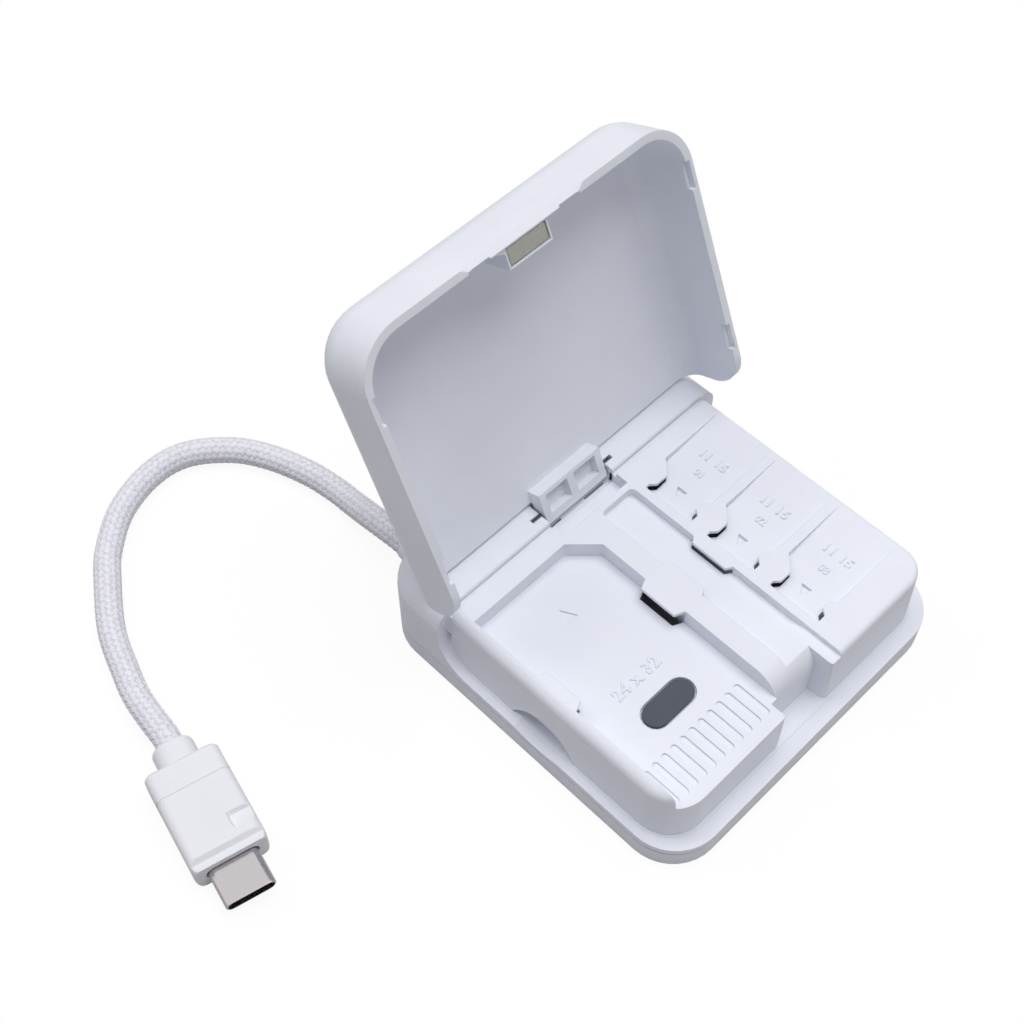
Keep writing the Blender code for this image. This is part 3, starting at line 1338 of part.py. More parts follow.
def plug(body_finish, metal_finish, tongue_finish, frame):
    bm = bmesh.new()
    boot_rear = -PLUG_REAR - BOOT_LENGTH - CLEARANCE
    rings = []
    for i in range(EDGE_STEPS + 1):
        angle = math.pi / 2 * i / EDGE_STEPS
        drawn = BOOT_EDGE * (1 - math.sin(angle))
        width, radius = BOOT_WIDTH - drawn * 2, (BOOT_RADIUS - drawn) * NEARLY_ROUND_SHARE
        y = boot_rear + BOOT_EDGE * (1 - math.cos(angle))
        rings.append(plug_ring(width, (BOOT_RADIUS - drawn) * 2, radius, y))
    radius = BOOT_RADIUS * NEARLY_ROUND_SHARE
    rings.append(plug_ring(BOOT_WIDTH, BOOT_RADIUS * 2, radius, -PLUG_REAR - CLEARANCE))
    add_loft(bm, rings)
    make_part("plug_boot", bm, body_finish, frame)

    bm = bmesh.new()
    seam = -PLUG_REAR + PLUG_CAP_LENGTH
    edge = PLUG_CAP_EDGE
    rings = [
        plug_ring(PLUG_WIDTH - edge * 2, PLUG_THICKNESS - edge * 2, PLUG_ROUND - edge, -PLUG_REAR),
        plug_ring(PLUG_WIDTH, PLUG_THICKNESS, PLUG_ROUND, -PLUG_REAR + edge),
        plug_ring(PLUG_WIDTH, PLUG_THICKNESS, PLUG_ROUND, seam),
    ]
    add_loft(bm, rings)
    make_part("plug_rear_cap", bm, body_finish, frame)

    bm = bmesh.new()
    nose = PLUG_FRONT - PLUG_NOSE
    lip = PLUG_TAPER / 3
    rings = [
        plug_ring(PLUG_WIDTH, PLUG_THICKNESS, PLUG_ROUND, seam + CLEARANCE),
        plug_ring(PLUG_WIDTH, PLUG_THICKNESS, PLUG_ROUND, nose),
        plug_ring(PLUG_WIDTH - lip, PLUG_THICKNESS - lip, PLUG_ROUND - lip / 2, (nose + PLUG_FRONT) / 2),
        plug_ring(PLUG_WIDTH - PLUG_TAPER, PLUG_THICKNESS - PLUG_TAPER, PLUG_ROUND - lip, PLUG_FRONT),
    ]
    add_loft(bm, rings)
    body = make_part("plug_body", bm, body_finish, frame)
    seat = PLUG_FRONT - SHELL_SEAT
    bm = bmesh.new()
    radius = (SHELL_THICKNESS / 2 + CLEARANCE) * NEARLY_ROUND_SHARE
    width, thickness = SHELL_WIDTH + CLEARANCE * 2, SHELL_THICKNESS + CLEARANCE * 2
    rings = [
        plug_ring(width, thickness, radius, seat - CLEARANCE),
        plug_ring(width, thickness, radius, PLUG_FRONT + OVERRUN),
    ]
    add_loft(bm, rings)
    cut(body, make_cutter("shell_seat_cutter", bm, frame))

    bm = bmesh.new()
    top = PLUG_THICKNESS / 2
    step = PLUG_FRONT - PLUG_STEP_LENGTH
    outline = [
        (step - PLUG_STEP, top + PLUG_STEP),
        (step + PLUG_STEP, top - PLUG_STEP),
        (PLUG_FRONT + OVERRUN, top - PLUG_STEP),
        (PLUG_FRONT + OVERRUN, top + PLUG_STEP),
    ]
    add_prism(bm, outline, -PLUG_WIDTH, PLUG_WIDTH, "X")
    cut(body, make_cutter("plug_step_cutter", bm, frame))

    bm = bmesh.new()
    side = -PLUG_NICK_SIDE
    places = ((side, -CLEARANCE), (side - PLUG_NICK_WALL, PLUG_NICK_DEPTH), (-PLUG_WIDTH, PLUG_NICK_DEPTH))
    add_loft(bm, [nick_ring(x, depth) for x, depth in places])
    cut(body, make_cutter("plug_nick_cutter", bm, frame))

    bm = bmesh.new()
    radius = SHELL_THICKNESS / 2 * NEARLY_ROUND_SHARE
    tip = PLUG_FRONT + SHELL_LENGTH
    edge = SHELL_WALL / 2
    rings = [
        plug_ring(SHELL_WIDTH, SHELL_THICKNESS, radius, seat),
        plug_ring(SHELL_WIDTH, SHELL_THICKNESS, radius, tip - edge),
        plug_ring(SHELL_WIDTH - edge * 2, SHELL_THICKNESS - edge * 2, radius - edge, tip),
    ]
    add_loft(bm, rings)
    shell = make_part("usb_shell", bm, metal_finish, frame)
    bm = bmesh.new()
    width, thickness = SHELL_WIDTH - SHELL_WALL * 2, SHELL_THICKNESS - SHELL_WALL * 2
    rings = [
        plug_ring(width, thickness, radius - SHELL_WALL, seat + SHELL_WALL * 2),
        plug_ring(width, thickness, radius - SHELL_WALL, tip + OVERRUN),
    ]
    add_loft(bm, rings)
    cut(shell, make_cutter("shell_inside_cutter", bm, frame))

    bm = bmesh.new()
    back = seat + SHELL_WALL * 2 + CLEARANCE
    half_x, half_z = TONGUE_WIDTH / 2, TONGUE_THICKNESS / 2
    add_prism(bm, box_outline(-half_x, half_x, -half_z, half_z), back, back + TONGUE_LENGTH, "Y")
    make_part("usb_tongue", bm, tongue_finish, frame)


def build():
    white = material("white_plastic", (0.84, 0.86, 0.90), 0.42)
    lid_white = material("lid_plastic", (0.82, 0.84, 0.88), 0.4)
    cover_white = material("cover_plastic", (0.80, 0.82, 0.87), 0.45)
    grey = material("grey_rubber", (0.10, 0.11, 0.13), 0.7)
    nickel = material("nickel", (0.62, 0.61, 0.58), 0.3, 1)
    steel = material("steel", (0.45, 0.45, 0.46), 0.35, 1)
    green = material("board_green", (0.03, 0.18, 0.10), 0.5)
    black = material("black_plastic", (0.02, 0.02, 0.02), 0.5)
    braid = material("braided_sleeve", (0.80, 0.80, 0.85), 0.75)
    plug_white = material("plug_plastic", (0.83, 0.84, 0.88), 0.45)

    bottom_cover(cover_white)
    housing(white)
    card_tray(white)
    grip_pad(grey)
    magnet("catch_magnet", COVER_FLOOR + CLEARANCE, nickel)
    for index, (x, y) in enumerate(SCREW_PLACES):
        screw(index + 1, x, y, steel)
    electronics(green, steel, black)

    pivot = bpy.data.objects.new("lid_pivot", None)
    PARTS.objects.link(pivot)
    pivot.location = AXIS
    pivot.rotation_euler = (-LID_OPEN_ANGLE, 0, 0)
    lid_shell(lid_white, pivot)
    for side in (-1, 1):
        hinge_pin(side, steel, pivot)
    magnet("lid_magnet", HOLDER_BOTTOM + CLEARANCE / 3, nickel, pivot, -AXIS)

    cable_gland(white)
    frame = plug_frame_empty()
    cable(braid, frame)
    plug(plug_white, nickel, black, frame)


build()
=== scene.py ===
"""Looks of the card storage box: moulded white plastic, nickel plug, braided cable, studio light."""

import math

import bmesh
import bpy
from mathutils import Matrix, Vector


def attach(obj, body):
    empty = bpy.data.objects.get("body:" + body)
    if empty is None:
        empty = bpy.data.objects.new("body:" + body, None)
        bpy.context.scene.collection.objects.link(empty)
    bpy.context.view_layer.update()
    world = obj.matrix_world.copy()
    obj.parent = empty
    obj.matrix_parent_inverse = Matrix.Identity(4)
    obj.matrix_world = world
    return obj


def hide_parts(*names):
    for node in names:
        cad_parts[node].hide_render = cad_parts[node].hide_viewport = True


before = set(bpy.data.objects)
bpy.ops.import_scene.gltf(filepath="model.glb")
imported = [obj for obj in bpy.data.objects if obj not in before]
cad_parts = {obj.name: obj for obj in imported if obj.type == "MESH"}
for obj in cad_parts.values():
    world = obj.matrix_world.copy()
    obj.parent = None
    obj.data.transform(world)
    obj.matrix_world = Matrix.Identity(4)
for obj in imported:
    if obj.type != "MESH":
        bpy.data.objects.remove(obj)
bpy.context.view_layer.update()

SCENE = bpy.context.scene

# Camera, fitted to the photograph: an aim on the floor, angles in degrees and a lens in picture widths
CAMERA_AIM = Vector((-0.00535, 0.03082, 0))
CAMERA_DISTANCE = 0.28254
CAMERA_AZIMUTH = 44.74
CAMERA_ELEVATION = 56.78
CAMERA_ROLL = -0.22
CAMERA_FOCAL_SHARE = 1.5978
CAMERA_SHIFT = (0.00615, 0.0180)
CAMERA_REACH = (0.01, 20)
SENSOR = 36.0

# Lamps: name, place, aim, size, power in watts, and whether glossy surfaces mirror it
LAMPS = (
    ("key", (0.2, -0.05, 1.6), (0, 0, 0.01), 1.2, 18.6, False),
    ("fill", (0.1, -0.8, 0.5), (0, 0, 0.01), 0.6, 0.5, True),
    ("rear", (-0.3, 0.7, 0.9), (-0.03, 0.03, 0.02), 0.5, 2.4, False),
)
WORLD_STRENGTH = 0.21
WORLD_TINT = (0.94, 0.92, 1.0, 1)

# Floor: white paper that mostly glows for the camera, just under the box
FLOOR_SIZE = 6.0
FLOOR_DROP = 0.00005
FLOOR_WHITE = 0.58
FLOOR_GLOW = 1.08
FLOOR_GLOW_SHARE = 0.85

# Plastic: noise scales, the grain's height, the edges' radius, and how far the light sinks in
CLOUD_SCALE = 60.0
GRAIN_SCALE = 5200.0
GRAIN_HEIGHT = 0.00004
EDGE_RADIUS = 0.00016
PLASTIC_IOR = 1.49
SOFT_SHARE = 0.08
SOFT_DEPTHS = (0.0012, 0.0011, 0.001)

# Metal and yarn: noise scales and heights
BRUSH_SCALE = 6.0
BRUSH_HEIGHT = 0.00003
FUZZ_SCALE = 2600.0
FUZZ_HEIGHT = 0.00006
FUZZ_SHARE = 0.5

# Cable, its route's points as the solid holds them
CABLE_DIAMETER = 0.0047
CABLE_EXIT = Vector((-0.0223, 0.0369, 0.0076))
CABLE_LEAD = 0.001645
CABLE_ROUTE = (
    (-0.0223, 0.0446, 0.0065),
    (-0.0217, 0.0486, 0.0044),
    (-0.0213, 0.0524, 0.0029),
    (-0.0213, 0.0564, 0.00237),
    (-0.0223, 0.0625, 0.00237),
    (-0.0249, 0.0700, 0.00237),
    (-0.0288, 0.0761, 0.00237),
    (-0.0352, 0.0810, 0.00237),
    (-0.0423, 0.0819, 0.00237),
    (-0.0503, 0.0795, 0.00237),
    (-0.0569, 0.0745, 0.00237),
    (-0.0606, 0.0700, 0.00237),
    (-0.0661, 0.0617, 0.00237),
    (-0.0691, 0.0542, 0.00242),
    (-0.0710, 0.0480, 0.0028),
)
CORD_STEPS = 15

# Plug: its place, its turn and its boot's end
PLUG_CENTRE = Vector((-0.0761, 0.0234, 0.0034))
PLUG_TURN = math.radians(166.2)
BOOT_END = 0.0149

# Joints of the plug: a section's width, thickness and corner radius, and its ends along the plug
PLUG_JOINTS = (
    (0.01228, 0.00668, 0.00154, -0.006, -0.005),
    (0.00686, 0.00596, 0.00296, -0.0112, -0.0101),
)

# Braid: strands each way round, yarns side by side in a strand, faces across a yarn, and its relief
BRAID_STRANDS = 12
BRAID_YARNS = 2
BRAID_CUTS = 4
BRAID_RELIEF = 0.00026
BRAID_EDGE = 0.00002
BRAID_INSERT = 0.0004
BRAID_ARCH_SHARE = 0.55
BRAID_START = (0.02, 0.01)

# Yarns' tone: the darkest, what it gains from yarn to yarn in so many steps, and what it gains with height, a
# painted shade that darkens the weave's low places
TONE_LOW = 0.1
TONE_SPREAD = 0.12
TONE_STEPS = 5
PAINTED_SHADE_RELIEF = 0.5

# Base moulding, its places as the solids hold them
HALF = 0.0328
HOUSING_BOTTOM = 0.0041
LEDGE = 0.00535
DECK = 0.0174
BEAM_FRONT = 0.01855
CHANNEL_RADIUS = 0.0066
TRAY_LEFT, TRAY_RIGHT = -0.031, 0.0297
TRAY_FRONT, TRAY_REAR = -0.0299, 0.01775
TRAY_RADII = (0.0067, 0.005, 0.0015, 0.0015)
TRAY_DRAFT = 0.0005
TRAY_FILLETS = (0.0021, 0.0006)
GROOVE_FLOOR = 0.0163
NOTCH_LEFT, NOTCH_RIGHT, NOTCH_REAR = -0.0056, 0.005, -0.0266
HINGE_HALF = 0.00735
HINGE_FLOOR = 0.0143
SCOOP_MIDDLE, SCOOP_HALF, SCOOP_BACK = -0.0031, 0.0066, -0.0291
DISH_DEPTH, DISH_RADIUS = 0.0007, 0.016

# Joint filler: the joint's width, its walls, how proud it stands, and its side's levels under the deck
JOINT = 0.00035
INSIDE = 0.0012
PROUD = 0.00002
FILLER_LEVELS = (TRAY_FILLETS[0], 0.0016, 0.0013, DECK - GROOVE_FLOOR - PROUD)

# Pockets and the numbers on their floors, each with its size
BIG_FLOOR = 0.01413
BIG_NUMBER, BIG_NUMBER_SIZE = (-0.01685, -0.00913), 0.0029
SMALL_LEFT, SMALL_DEPTH, SMALL_RAMP = 0.0087, 0.00195, 0.0195
SMALL_MIDDLES = (0.00855, -0.00455, -0.01765)
CARD_NUMBER_X, CARD_NUMBER_SIZE = 0.0209, 0.0023
COUNT_X, COUNT_SIZE = 0.0175, 0.0018
NUMBER_HEIGHT = 0.00016
NUMBER_EDGE = 0.00006
NUMBER_WEIGHT_SHARE = 0.02
NUMBER_SPACING = 1.1

# Smoothing: angles in degrees, and how near two places count as one
FLAT_ANGLE = 0.2
MARK_ANGLE = 1
SHARP_ANGLE = 25
SAME_PLACE = 0.000001
SAME_LEVEL = 0.00001
FACE_WEIGHT = 100

# Steps along a quarter turn or half of a curve
CORNER_STEPS = 9
CHANNEL_STEPS = 12
DISH_STEPS = 12


# Camera


def make_camera():
    azimuth, elevation = math.radians(CAMERA_AZIMUTH), math.radians(CAMERA_ELEVATION)
    level = math.cos(elevation)
    back = Vector((-math.sin(azimuth) * level, -math.cos(azimuth) * level, math.sin(elevation)))
    forward = -back
    right = forward.cross(Vector((0, 0, 1))).normalized()
    up = right.cross(forward)
    roll = math.radians(CAMERA_ROLL)
    rolled_right = right * math.cos(roll) + up * math.sin(roll)
    rolled_up = up * math.cos(roll) - right * math.sin(roll)
    data = bpy.data.cameras.new("camera")
    data.sensor_width = SENSOR
    data.lens = CAMERA_FOCAL_SHARE * SENSOR
    data.shift_x, data.shift_y = CAMERA_SHIFT
    data.clip_start, data.clip_end = CAMERA_REACH
    camera = bpy.data.objects.new("camera", data)
    SCENE.collection.objects.link(camera)
    turn = Matrix((rolled_right, rolled_up, back)).transposed().to_4x4()
    camera.matrix_world = Matrix.Translation(CAMERA_AIM + back * CAMERA_DISTANCE) @ turn
    SCENE.camera = camera


# Materials


class Nodes:
    """A short way to add and link shader nodes."""

    def __init__(self, name):
        self.material = bpy.data.materials.new(name)
        self.material.use_nodes = True
        self.tree = self.material.node_tree
        self.shader = self.tree.nodes["Principled BSDF"]
        self.output = self.tree.nodes["Material Output"]

    def add(self, kind, **values):
        node = self.tree.nodes.new(kind)
        for key, value in values.items():
            if hasattr(node, key):
                setattr(node, key, value)
            else:
                node.inputs[key.replace("_", " ")].default_value = value
        return node

    def link(self, source, target):
        self.tree.links.new(source, target)

    def set(self, **values):
        """Sets inputs of the shader, with _ for a blank in their names."""
        for key, value in values.items():
            self.shader.inputs[key.replace("_", " ")].default_value = value

    def noise(self, scale, detail, roughness, place=None):
        """A noise texture on a place, by default the object's own."""
        texture = self.add("ShaderNodeTexNoise", Scale=scale, Detail=detail, Roughness=roughness)
        if place is None:
            place = self.add("ShaderNodeTexCoord").outputs["Object"]
        self.link(place, texture.inputs["Vector"])
        return texture.outputs["Fac"]

    def ramp(self, source, low, high):
        """A colour that runs between two stops, each a place and a colour."""
        node = self.add("ShaderNodeValToRGB")
        for element, (at, colour) in zip(node.color_ramp.elements, (low, high)):
            element.position = at
            element.color = colour
        self.link(source, node.inputs["Fac"])
        return node.outputs["Color"]

    def bump(self, height, strength, distance, normal=None):
        """Lifts the shader's surface by a height, on top of a normal."""
        node = self.add("ShaderNodeBump", Strength=strength, Distance=distance)
        self.link(height, node.inputs["Height"])
        if normal is not None:
            self.link(normal, node.inputs["Normal"])
        self.link(node.outputs["Normal"], self.shader.inputs["Normal"])


def rgb(red, green, blue):
    """A colour in the eyes' 0 to 255 scale, as the shader's linear value."""
    made = []
    for value in (red, green, blue):
        share = value / 255
        made.append(share / 12.92 if share <= 0.04045 else ((share + 0.055) / 1.055) ** 2.4)
    return (*made, 1)


def grey(value):
    return (value, value, value, 1)


def moulded(name, light, dark, roughness=0.4, grain=0.02):
    """Satin moulded plastic: a fine spark texture, faint flow clouds and softly rounded edges."""
    nodes = Nodes(name)
    clouds = nodes.noise(CLOUD_SCALE, 3.0, 0.5)
    nodes.link(nodes.ramp(clouds, (0.35, dark), (0.65, light)), nodes.shader.inputs["Base Color"])
    sheen = nodes.ramp(clouds, (0.3, grey(roughness - 0.03)), (0.7, grey(roughness + 0.04)))
    nodes.link(sheen, nodes.shader.inputs["Roughness"])
    rounding = nodes.add("ShaderNodeBevel", samples=6, Radius=EDGE_RADIUS)
    nodes.bump(nodes.noise(GRAIN_SCALE, 2.0, 0.6), grain, GRAIN_HEIGHT, rounding.outputs["Normal"])
    nodes.set(IOR=PLASTIC_IOR)
    nodes.set(Subsurface_Weight=SOFT_SHARE, Subsurface_Radius=SOFT_DEPTHS, Subsurface_Scale=1.0)
    return nodes.material


def metal(name, light, dark, roughness, scale=(900.0, 60.0, 900.0)):
    """Plated metal with a fine brushed grain along one way."""
    nodes = Nodes(name)
    stretch = nodes.add("ShaderNodeMapping")
    stretch.inputs["Scale"].default_value = scale
    nodes.link(nodes.add("ShaderNodeTexCoord").outputs["Object"], stretch.inputs["Vector"])
    brush = nodes.noise(BRUSH_SCALE, 4.0, 0.6, stretch.outputs["Vector"])
    nodes.link(nodes.ramp(brush, (0.3, dark), (0.7, light)), nodes.shader.inputs["Base Color"])
    gloss = nodes.ramp(brush, (0.3, grey(roughness * 0.8)), (0.7, grey(roughness * 1.25)))
    nodes.link(gloss, nodes.shader.inputs["Roughness"])
    nodes.bump(brush, 0.06, BRUSH_HEIGHT)
    nodes.set(Metallic=1.0)
    return nodes.material


def braided(name, light, dark):
    """Woven sleeve: yarns a little apart in tone by strand, lighter where they stand high and grey in the
    weave's low places, which is painted shade, with fine filaments along the surface.
    """
    nodes = Nodes(name)
    # The yarn value carries each yarn's tone and the painted shade of the weave's low places
    yarn = nodes.add("ShaderNodeAttribute", attribute_name="yarn").outputs["Fac"]
    fuzz = nodes.noise(FUZZ_SCALE, 3.0, 0.7)
    mixed = nodes.add("ShaderNodeMath", operation="MULTIPLY_ADD")
    nodes.link(fuzz, mixed.inputs[0])
    mixed.inputs[1].default_value = FUZZ_SHARE
    nodes.link(yarn, mixed.inputs[2])
    colour = nodes.ramp(mixed.outputs["Value"], (0.25, dark), (0.85, light))
    nodes.link(colour, nodes.shader.inputs["Base Color"])
    nodes.bump(fuzz, 0.35, FUZZ_HEIGHT)
    nodes.set(Roughness=0.8, Sheen_Weight=0.25, Sheen_Roughness=0.5)
    return nodes.material


# Cable


def plug_place(x, y, z=0):
    """A point of the plug's own frame, whose Y runs to its tip, in the scene."""
    return PLUG_CENTRE + Matrix.Rotation(PLUG_TURN, 3, "Z") @ Vector((x, y, z))


def cable_centres(spacing):
    """Evenly spaced points along the cable's smooth centre line, from the gland to the boot."""
    start, end = CABLE_EXIT - Vector((0, BRAID_INSERT, 0)), plug_place(0, BRAID_INSERT - BOOT_END)
    ahead = plug_place(0, -BOOT_END - CABLE_LEAD)
    route = [CABLE_EXIT, CABLE_EXIT + Vector((0, CABLE_LEAD, 0))]
    route += [Vector(point) for point in CABLE_ROUTE] + [ahead, plug_place(0, -BOOT_END)]
    dense = [start]
    for a, b, c, d in zip(route, route[1:], route[2:], route[3:]):
        for i in range(CORD_STEPS):
            t = i / CORD_STEPS
            first, second, third = c - a, a * 2 - b * 5 + c * 4 - d, b * 3 - a - c * 3 + d
            dense.append(b + (first * t + second * t**2 + third * t**3) / 2)
    dense += [ahead, end]
    lengths = [0]
    for a, b in zip(dense, dense[1:]):
        lengths.append(lengths[-1] + (b - a).length)
    count = round(lengths[-1] / spacing)
    points, at = [], 0
    for i in range(count + 1):
        want = lengths[-1] * i / count
        while at < len(lengths) - 2 and lengths[at + 1] < want:
            at += 1
        points.append(dense[at].lerp(dense[at + 1], (want - lengths[at]) / (lengths[at + 1] - lengths[at])))
    return points


def braid_point(around, along):
    """How high the weave stands at a place in strand widths, from 0 to 1, and which yarn is on top."""
    right, left = around + along, around - along
    i, j = math.floor(right), math.floor(left)
    over = (i + j) % 4 < 2
    across = right - i if over else left - j
    travel = ((i + left) % 4) / 2 if over else ((right + j) % 4 - 2) / 2
    lay = across * BRAID_YARNS
    bulge = math.sqrt(max(0, 1 - (2 * (lay % 1) - 1) ** 2))
    arch = math.sin(math.pi * min(max(travel, 0), 1))
    strand = (i % BRAID_STRANDS) * 2 + 1 if over else (j % BRAID_STRANDS) * 2
    return (1 - BRAID_ARCH_SHARE) * bulge + BRAID_ARCH_SHARE * arch, strand * BRAID_YARNS + int(lay)


def yarn_tone_with_shade(yarn, height):
    """A yarn's lightness: a little apart from its neighbours', and lighter where it stands high, a painted
    shade that darkens the weave's low places.
    """
    step = (yarn * (TONE_STEPS + 2)) % TONE_STEPS
    return TONE_LOW + TONE_SPREAD * step / (TONE_STEPS - 1) + PAINTED_SHADE_RELIEF * height


def braided_cable(finish):
    """The cable's sleeve: two sets of strands woven over two and under two round the centre line."""
    cuts = BRAID_YARNS * BRAID_CUTS
    columns = BRAID_STRANDS * cuts
    centres = cable_centres(math.pi * CABLE_DIAMETER / columns)
    bm = bmesh.new()
    # The yarn layer holds each yarn's tone together with painted shade in the weave's low places
    tone_and_shade = bm.verts.layers.float.new("yarn")
    side = Vector((1, 0, 0))
    rings = []
    for row, centre in enumerate(centres):
        before, after = centres[max(row - 1, 0)], centres[min(row + 1, len(centres) - 1)]
        along = (after - before).normalized()
        side = (side - along * side.dot(along)).normalized()
        up = along.cross(side)
        ring = []
        for column in range(columns):
            angle = 2 * math.pi * column / columns
            height, yarn = braid_point(column / cuts + BRAID_START[0], row / cuts + BRAID_START[1])
            radius = CABLE_DIAMETER / 2 - BRAID_EDGE - BRAID_RELIEF * (1 - height)
            vert = bm.verts.new(centre + (side * math.cos(angle) + up * math.sin(angle)) * radius)
            vert[tone_and_shade] = yarn_tone_with_shade(yarn, height)
            ring.append(vert)
        rings.append(ring)
    for near, far in zip(rings, rings[1:]):
        for i in range(columns):
            face = bm.faces.new((near[i], near[i - 1], far[i - 1], far[i]))
            face.smooth = True
    bm.faces.new(rings[0])
    bm.faces.new(list(reversed(rings[-1])))
    bmesh.ops.recalc_face_normals(bm, faces=bm.faces)
    piece = new_piece("braided_cable", bm, finish)
    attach(piece, "base")
    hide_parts("cable")


# Solids


def rounded(left, right, front, rear, radii, grow=0):
    """A rectangle with round corners: front left, front right, rear right, rear left."""
    left, right, front, rear = left - grow, right + grow, front - grow, rear + grow
    points = []
    corners = ((left, 1, front, 1), (right, -1, front, 1), (right, -1, rear, -1), (left, 1, rear, -1))
    for k, (x, sx, y, sy) in enumerate(corners):
        radius = radii[k] + grow
        for i in range(CORNER_STEPS + 1):
            angle = math.radians(180 + 90 * k + 90 * i / CORNER_STEPS)
            centre = (x + sx * radius, y + sy * radius)
            points.append((centre[0] + radius * math.cos(angle), centre[1] + radius * math.sin(angle)))
    return points


def box_corners(left, right, front, rear):
    return [(left, front), (right, front), (right, rear), (left, rear)]


def skin(bm, rings):
    """A closed solid through rings of as many points, from the first to the last."""
    for near, far in zip(rings, rings[1:]):
        for i in range(len(near)):
            bm.faces.new((near[i - 1], near[i], far[i], far[i - 1]))
    bm.faces.new(rings[0])
    bm.faces.new(list(reversed(rings[-1])))


def prism(name, outline, low, high, axis="Z"):
    """A helper on an outline: (x, y) for Z, (y, z) for X."""
    bm = bmesh.new()
    rings = []
    for level in (low, high):
        rings.append([bm.verts.new((a, b, level) if axis == "Z" else (level, a, b)) for a, b in outline])
    skin(bm, rings)
    return helper(name, bm)


def helper(name, bm):
    """A solid that serves a Boolean, or starts a piece."""
    bmesh.ops.recalc_face_normals(bm, faces=bm.faces)
    mesh = bpy.data.meshes.new(name)
    bm.to_mesh(mesh)
    bm.free()
    made = bpy.data.objects.new(name, mesh)
    SCENE.collection.objects.link(made)
    return made


def solid_copy(name):
    """A CAD node's mesh with its triangles joined at their corners."""
    bm = bmesh.new()
    bm.from_mesh(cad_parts[name].data)
    bmesh.ops.remove_doubles(bm, verts=bm.verts, dist=SAME_PLACE)
    return helper(name + "_copy", bm)


def combine(target, operation, tools):
    """Joins the tools to the target, or cuts them out of it, and takes them away."""
    for tool in tools:
        modifier = target.modifiers.new(tool.name, "BOOLEAN")
        modifier.operation = operation
        modifier.solver = "EXACT"
        modifier.object = tool
    graph = bpy.context.evaluated_depsgraph_get()
    mesh = bpy.data.meshes.new_from_object(target.evaluated_get(graph))
    target.modifiers.clear()
    target.data = mesh
    for tool in tools:
        bpy.data.objects.remove(tool)


def smooth(piece, finish):
    """Merges flat areas and shades the curves smooth, but keeps the big pocket's floor apart from its mark."""
    mesh = piece.data
    bm = bmesh.new()
    bm.from_mesh(mesh)
    bmesh.ops.remove_doubles(bm, verts=bm.verts, dist=SAME_PLACE)
    bmesh.ops.dissolve_limit(bm, angle_limit=math.radians(FLAT_ANGLE), verts=bm.verts, edges=bm.edges)
    for face in bm.faces:
        face.smooth = True
    for edge in bm.edges:
        angle = math.degrees(edge.calc_face_angle(math.pi))
        off_floor = max(abs(vert.co.z - BIG_FLOOR) for vert in edge.verts)
        edge.smooth = angle < (MARK_ANGLE if off_floor < SAME_LEVEL else SHARP_ANGLE)
    bm.to_mesh(mesh)
    bm.free()
    mesh.materials.clear()
    mesh.materials.append(finish)
    weights = piece.modifiers.new("face weights", "WEIGHTED_NORMAL")
    weights.weight = FACE_WEIGHT
    weights.keep_sharp = True


def smooth_copy(name, body, finish):
    """A piece in the place of a CAD node, the same but shaded smooth across its curves."""
    piece = solid_copy(name)
    piece.name = piece.data.name = name + "_smooth"
    smooth(piece, finish)
    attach(piece, body)
    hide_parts(name)
    return piece


def new_piece(name, bm, finish):
    mesh = bpy.data.meshes.new(name)
    bm.to_mesh(mesh)
    bm.free()
    mesh.materials.append(finish)
    piece = bpy.data.objects.new(name, mesh)
    SCENE.collection.objects.link(piece)
    return piece


def dress(name, finish):
    """Gives a solid of model.glb its material."""
    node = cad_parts[name]
    node.data.materials.clear()
    node.data.materials.append(finish)


# Plug


def plug_joint(width, thickness, radius, start, end):
    """A length of the plug's section, which fills the space between two of its solids."""
    bm = bmesh.new()
    outline = rounded(-width / 2, width / 2, -thickness / 2, thickness / 2, (radius,) * 4)
    skin(bm, [[bm.verts.new(plug_place(x, along, z)) for x, z in outline] for along in (start, end)])
    return helper("plug_joint", bm)


def plug_moulding(finish):
    """Boot, rear cap and body of the plug with their hidden joints closed, a fine line left at the cap."""
    piece = solid_copy("plug_body")
    piece.name = piece.data.name = "plug_moulding"
    tools = [solid_copy("plug_rear_cap"), solid_copy("plug_boot")]
    tools += [plug_joint(*joint) for joint in PLUG_JOINTS]
    combine(piece, "UNION", tools)
    smooth(piece, finish)
    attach(piece, "base")
    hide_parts("plug_body", "plug_rear_cap", "plug_boot")
    return piece


# Joint between tray and housing


def tray_inside():
    """The space inside the filler's walls, which go round the finger notch and behind the side opening."""
    left, right = TRAY_LEFT + INSIDE, TRAY_RIGHT - INSIDE
    front, rear = TRAY_FRONT + INSIDE, BEAM_FRONT - INSIDE
    corner = TRAY_RADII[1]
    notch_left, notch_right, notch_rear = NOTCH_LEFT - INSIDE, NOTCH_RIGHT + INSIDE, NOTCH_REAR + INSIDE
    scoop_back, scoop = SCOOP_BACK + INSIDE / 2, SCOOP_HALF + INSIDE / 2
    outline = [
        (left, front + corner),
        (left + corner, front),
        (notch_left, front),
        (notch_left, notch_rear),
        (notch_right, notch_rear),
        (notch_right, front),
        (right - corner, front),
        (right, front + corner),
        (right, rear),
        (left, rear),
        (left, SCOOP_MIDDLE + scoop),
        (scoop_back, SCOOP_MIDDLE + scoop),
        (scoop_back, SCOOP_MIDDLE - scoop),
        (left, SCOOP_MIDDLE - scoop),
    ]
    return prism("inner_space", outline, HOUSING_BOTTOM - JOINT, DECK + JOINT)


